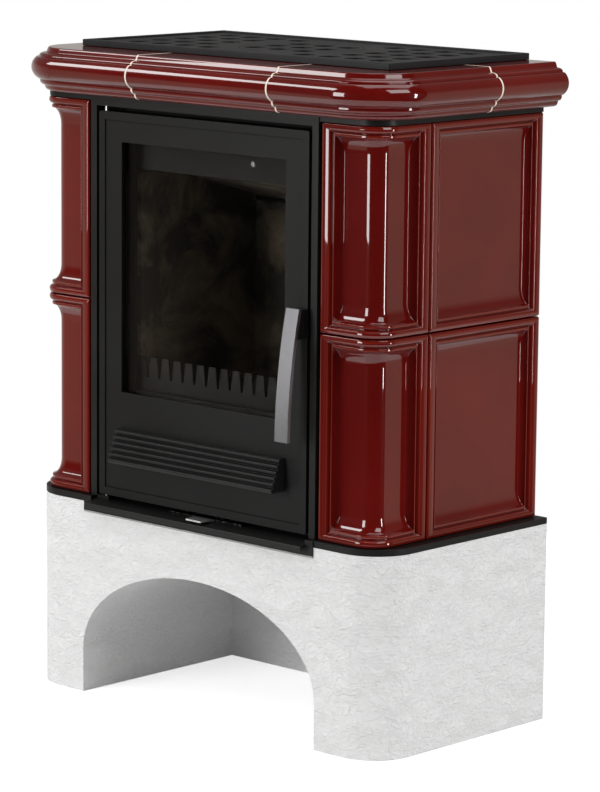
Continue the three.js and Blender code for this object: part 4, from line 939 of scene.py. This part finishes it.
def dress_nodes():
    """Finish and width of the broken edges, in millimetres, of each CAD node."""
    finishes = {
        PLASTER: (6.0, ("plinth",)),
        FRAME_BLACK: (0.6, ("carrier_plate", "cornice_carrier", "front_frame",
                            "hinge_block_lower")),
        SILL_BLACK: (0.6, ("ash_sill",)),
        DOOR_BLACK: (0.7, ("door_frame", "handle_bracket")),
        HANDLE_STEEL: (0.5, ("handle_bar",)),
        BRIGHT_STEEL: (0.3, ("hinge_pin_upper", "hinge_pin_lower", "handle_spindle")),
        SLIDE_STEEL: (0.3, ("air_slide", "slide_screw_left", "slide_screw_right")),
        GRATE_CAST: (0.8, ("hearth_plate", "grate")),
        BOILER_PAINT: (0.5, ("firebox", "air_wash_plate", "log_retainer", "door_liner",
                             "glass_retainer_left", "glass_retainer_right", "flue_collar",
                             "top_outlet_cap")),
        ROPE: (1.6, ("glass_seal", "door_seal")),
        FIRE_CLAY: (1.2, ("fire_brick_left", "fire_brick_right", "fire_brick_rear",
                          "floor_brick_left", "floor_brick_right", "baffle")),
        ZINC: (0.3, ("casing_left", "casing_right", "ash_pan", "latch_cam",
                     "latch_keeper")),
        GLASS: (0.0, ("door_glass",)),
    }
    for material, (edge, nodes) in finishes.items():
        for node in nodes:
            dress(node, material, edge)
    dress("rear_panel", FRAME_BLACK, 0.0)


# ------------------------------------------------------------------ floor, lamps, camera

CAMERA_PLACE = Vector((3.6435, -3.8578, 1.3759))
CAMERA_YAW = 0.7509
CAMERA_PITCH = 0.1695
CAMERA_ROLL = 0.0094
PHOTO_HEIGHT = 792
FOCAL_PIXELS = 3586.6
SENSOR_MM = 36

# Name, place, target, width, height and power
SOFTBOXES = (
    ("front_key", (-0.97, -2.89, 1.05), (0, 0, 0.85), 1.14, 1.4, 40),
    ("right_strip", (3.3, 0.9, 0.75), (0.3, 0, 0.7), 0.26, 1.5, 26),
    ("left_softbox", (-2.6, -2.2, 3.05), (0, 0, 0.6), 1.9, 0.9, 40),
    ("right_softbox", (2.9, -0.4, 2.9), (0, 0, 0.6), 1.9, 1.6, 36),
    ("overhead_softbox", (0.2, 0.3, 3.2), (0, 0, 0.6), 2.2, 2.2, 26),
)
WHITE = (1, 1, 1)
FILL_LIGHT = 0.36
# The studio in reflections, from the camera's side to the far side
STUDIO_SHADES = ((0.488, (0.012, 0.012, 0.012)), (0.509, (0.4, 0.33, 0.27)),
                 (0.62, (0.42, 0.36, 0.3)), (0.95, (0.6, 0.58, 0.56)))
STUDIO_TILT = -0.06
STUDIO_HIGH = 0.25
STUDIO_HIGH_SHARE = 0.3
FLOOR_RADIUS = 1.35
FLOOR_POINTS = 128
FLOOR_DROP = 0.0005
FLOOR_LIFT = 0.62


def camera_axes():
    forward = Vector((-math.sin(CAMERA_YAW) * math.cos(CAMERA_PITCH),
                      math.cos(CAMERA_YAW) * math.cos(CAMERA_PITCH),
                      -math.sin(CAMERA_PITCH)))
    level = Vector((math.cos(CAMERA_YAW), math.sin(CAMERA_YAW), 0))
    upright = level.cross(forward)
    right = level * math.cos(CAMERA_ROLL) + upright * math.sin(CAMERA_ROLL)
    return right, right.cross(forward), forward


def add_camera():
    camera = bpy.data.cameras.new("photo_camera")
    camera.sensor_width = SENSOR_MM
    camera.lens = FOCAL_PIXELS / PHOTO_HEIGHT * SENSOR_MM
    holder = placed("photo_camera", camera)
    right, upward, forward = camera_axes()
    turn = Matrix((right, upward, -forward)).transposed().to_4x4()
    holder.matrix_world = Matrix.Translation(CAMERA_PLACE) @ turn
    bpy.context.scene.camera = holder


def add_softbox(name, place, target, width, height, power):
    lamp = bpy.data.lights.new(name, "AREA")
    lamp.shape = "RECTANGLE"
    lamp.size = width
    lamp.size_y = height
    lamp.energy = power
    holder = placed(name, lamp)
    holder.location = place
    away = Vector(target) - Vector(place)
    holder.rotation_euler = away.to_track_quat("-Z", "Y").to_euler()


def add_lamps():
    """A low key in front, a narrow strip on the right and three high softboxes."""
    for softbox in SOFTBOXES:
        add_softbox(*softbox)


def add_world():
    """White behind the stove, a dim studio in its reflections and an even fill light."""
    world = bpy.data.worlds.new("studio")
    bpy.context.scene.world = world
    world.use_nodes = True
    net = NodeNet(world.node_tree)
    fill = net.nodes["Background"]
    fill.inputs["Color"].default_value = (*WHITE, 1)
    fill.inputs["Strength"].default_value = FILL_LIGHT

    direction = net.nodes.new("ShaderNodeTexCoord").outputs["Generated"]
    _, _, forward = camera_axes()
    towards = net.math("VectorMath", "DOT_PRODUCT", direction,
                       (forward.x / 2, forward.y / 2, STUDIO_TILT))["Value"]
    shade = net.ramp(net.math("Math", "ADD", towards, 0.5)[0], *STUDIO_SHADES)
    height = net.node("ShaderNodeSeparateXYZ", Vector=direction).outputs["Z"]
    share = net.ranged(height, 0, STUDIO_HIGH, 1, STUDIO_HIGH_SHARE)
    studio = net.math("VectorMath", "MULTIPLY", shade, share)[0]

    ray = net.light_path()
    seen_colour = net.mixed(ray["Is Camera Ray"], studio, WHITE)
    seen = net.node("ShaderNodeBackground", Color=seen_colour).outputs[0]
    looks = net.math("Math", "MAXIMUM", ray["Is Camera Ray"], ray["Is Glossy Ray"])[0]
    looks = net.math("Math", "MAXIMUM", looks, ray["Is Transmission Ray"])[0]
    sky = net.mixed_shaders(looks, fill.outputs[0], seen)
    net.links.new(sky, net.nodes["World Output"].inputs["Surface"])


def add_floor():
    """A round white floor that keeps the stove's soft shadow."""
    s = Surface("studio_floor", Roughness=0.9, IOR=1.3)
    tone = s.noise(1.5, 2.0)
    s.colour(s.ramp(tone, (0.3, (0.86, 0.86, 0.86)), (0.7, (0.88, 0.88, 0.88))))
    lift = s.node("ShaderNodeEmission", Strength=FLOOR_LIFT).outputs[0]
    nothing = s.node("ShaderNodeBsdfTransparent", Color=(0, 0, 0, 1)).outputs[0]
    both = s.node("ShaderNodeAddShader")
    s.links.new(s.shader.outputs[0], both.inputs[0])
    s.links.new(s.mixed_shaders(s.light_path()["Is Camera Ray"], nothing, lift),
                both.inputs[1])
    s.show(both.outputs[0])
    mesh = bpy.data.meshes.new("floor")
    built = bmesh.new()
    bmesh.ops.create_circle(built, cap_ends=True, segments=FLOOR_POINTS,
                            radius=FLOOR_RADIUS)
    built.to_mesh(mesh)
    built.free()
    mesh.materials.append(s.material)
    floor = placed("floor", mesh)
    floor.location = (0, 0, -FLOOR_DROP)


# ------------------------------------------------------------------ the stove

add_tiles()
add_cornice()
add_top()
add_hood()
add_wash_screw()
dress_nodes()
add_camera()
add_lamps()
add_world()
add_floor()
bpy.context.scene.view_settings.view_transform = "Standard"
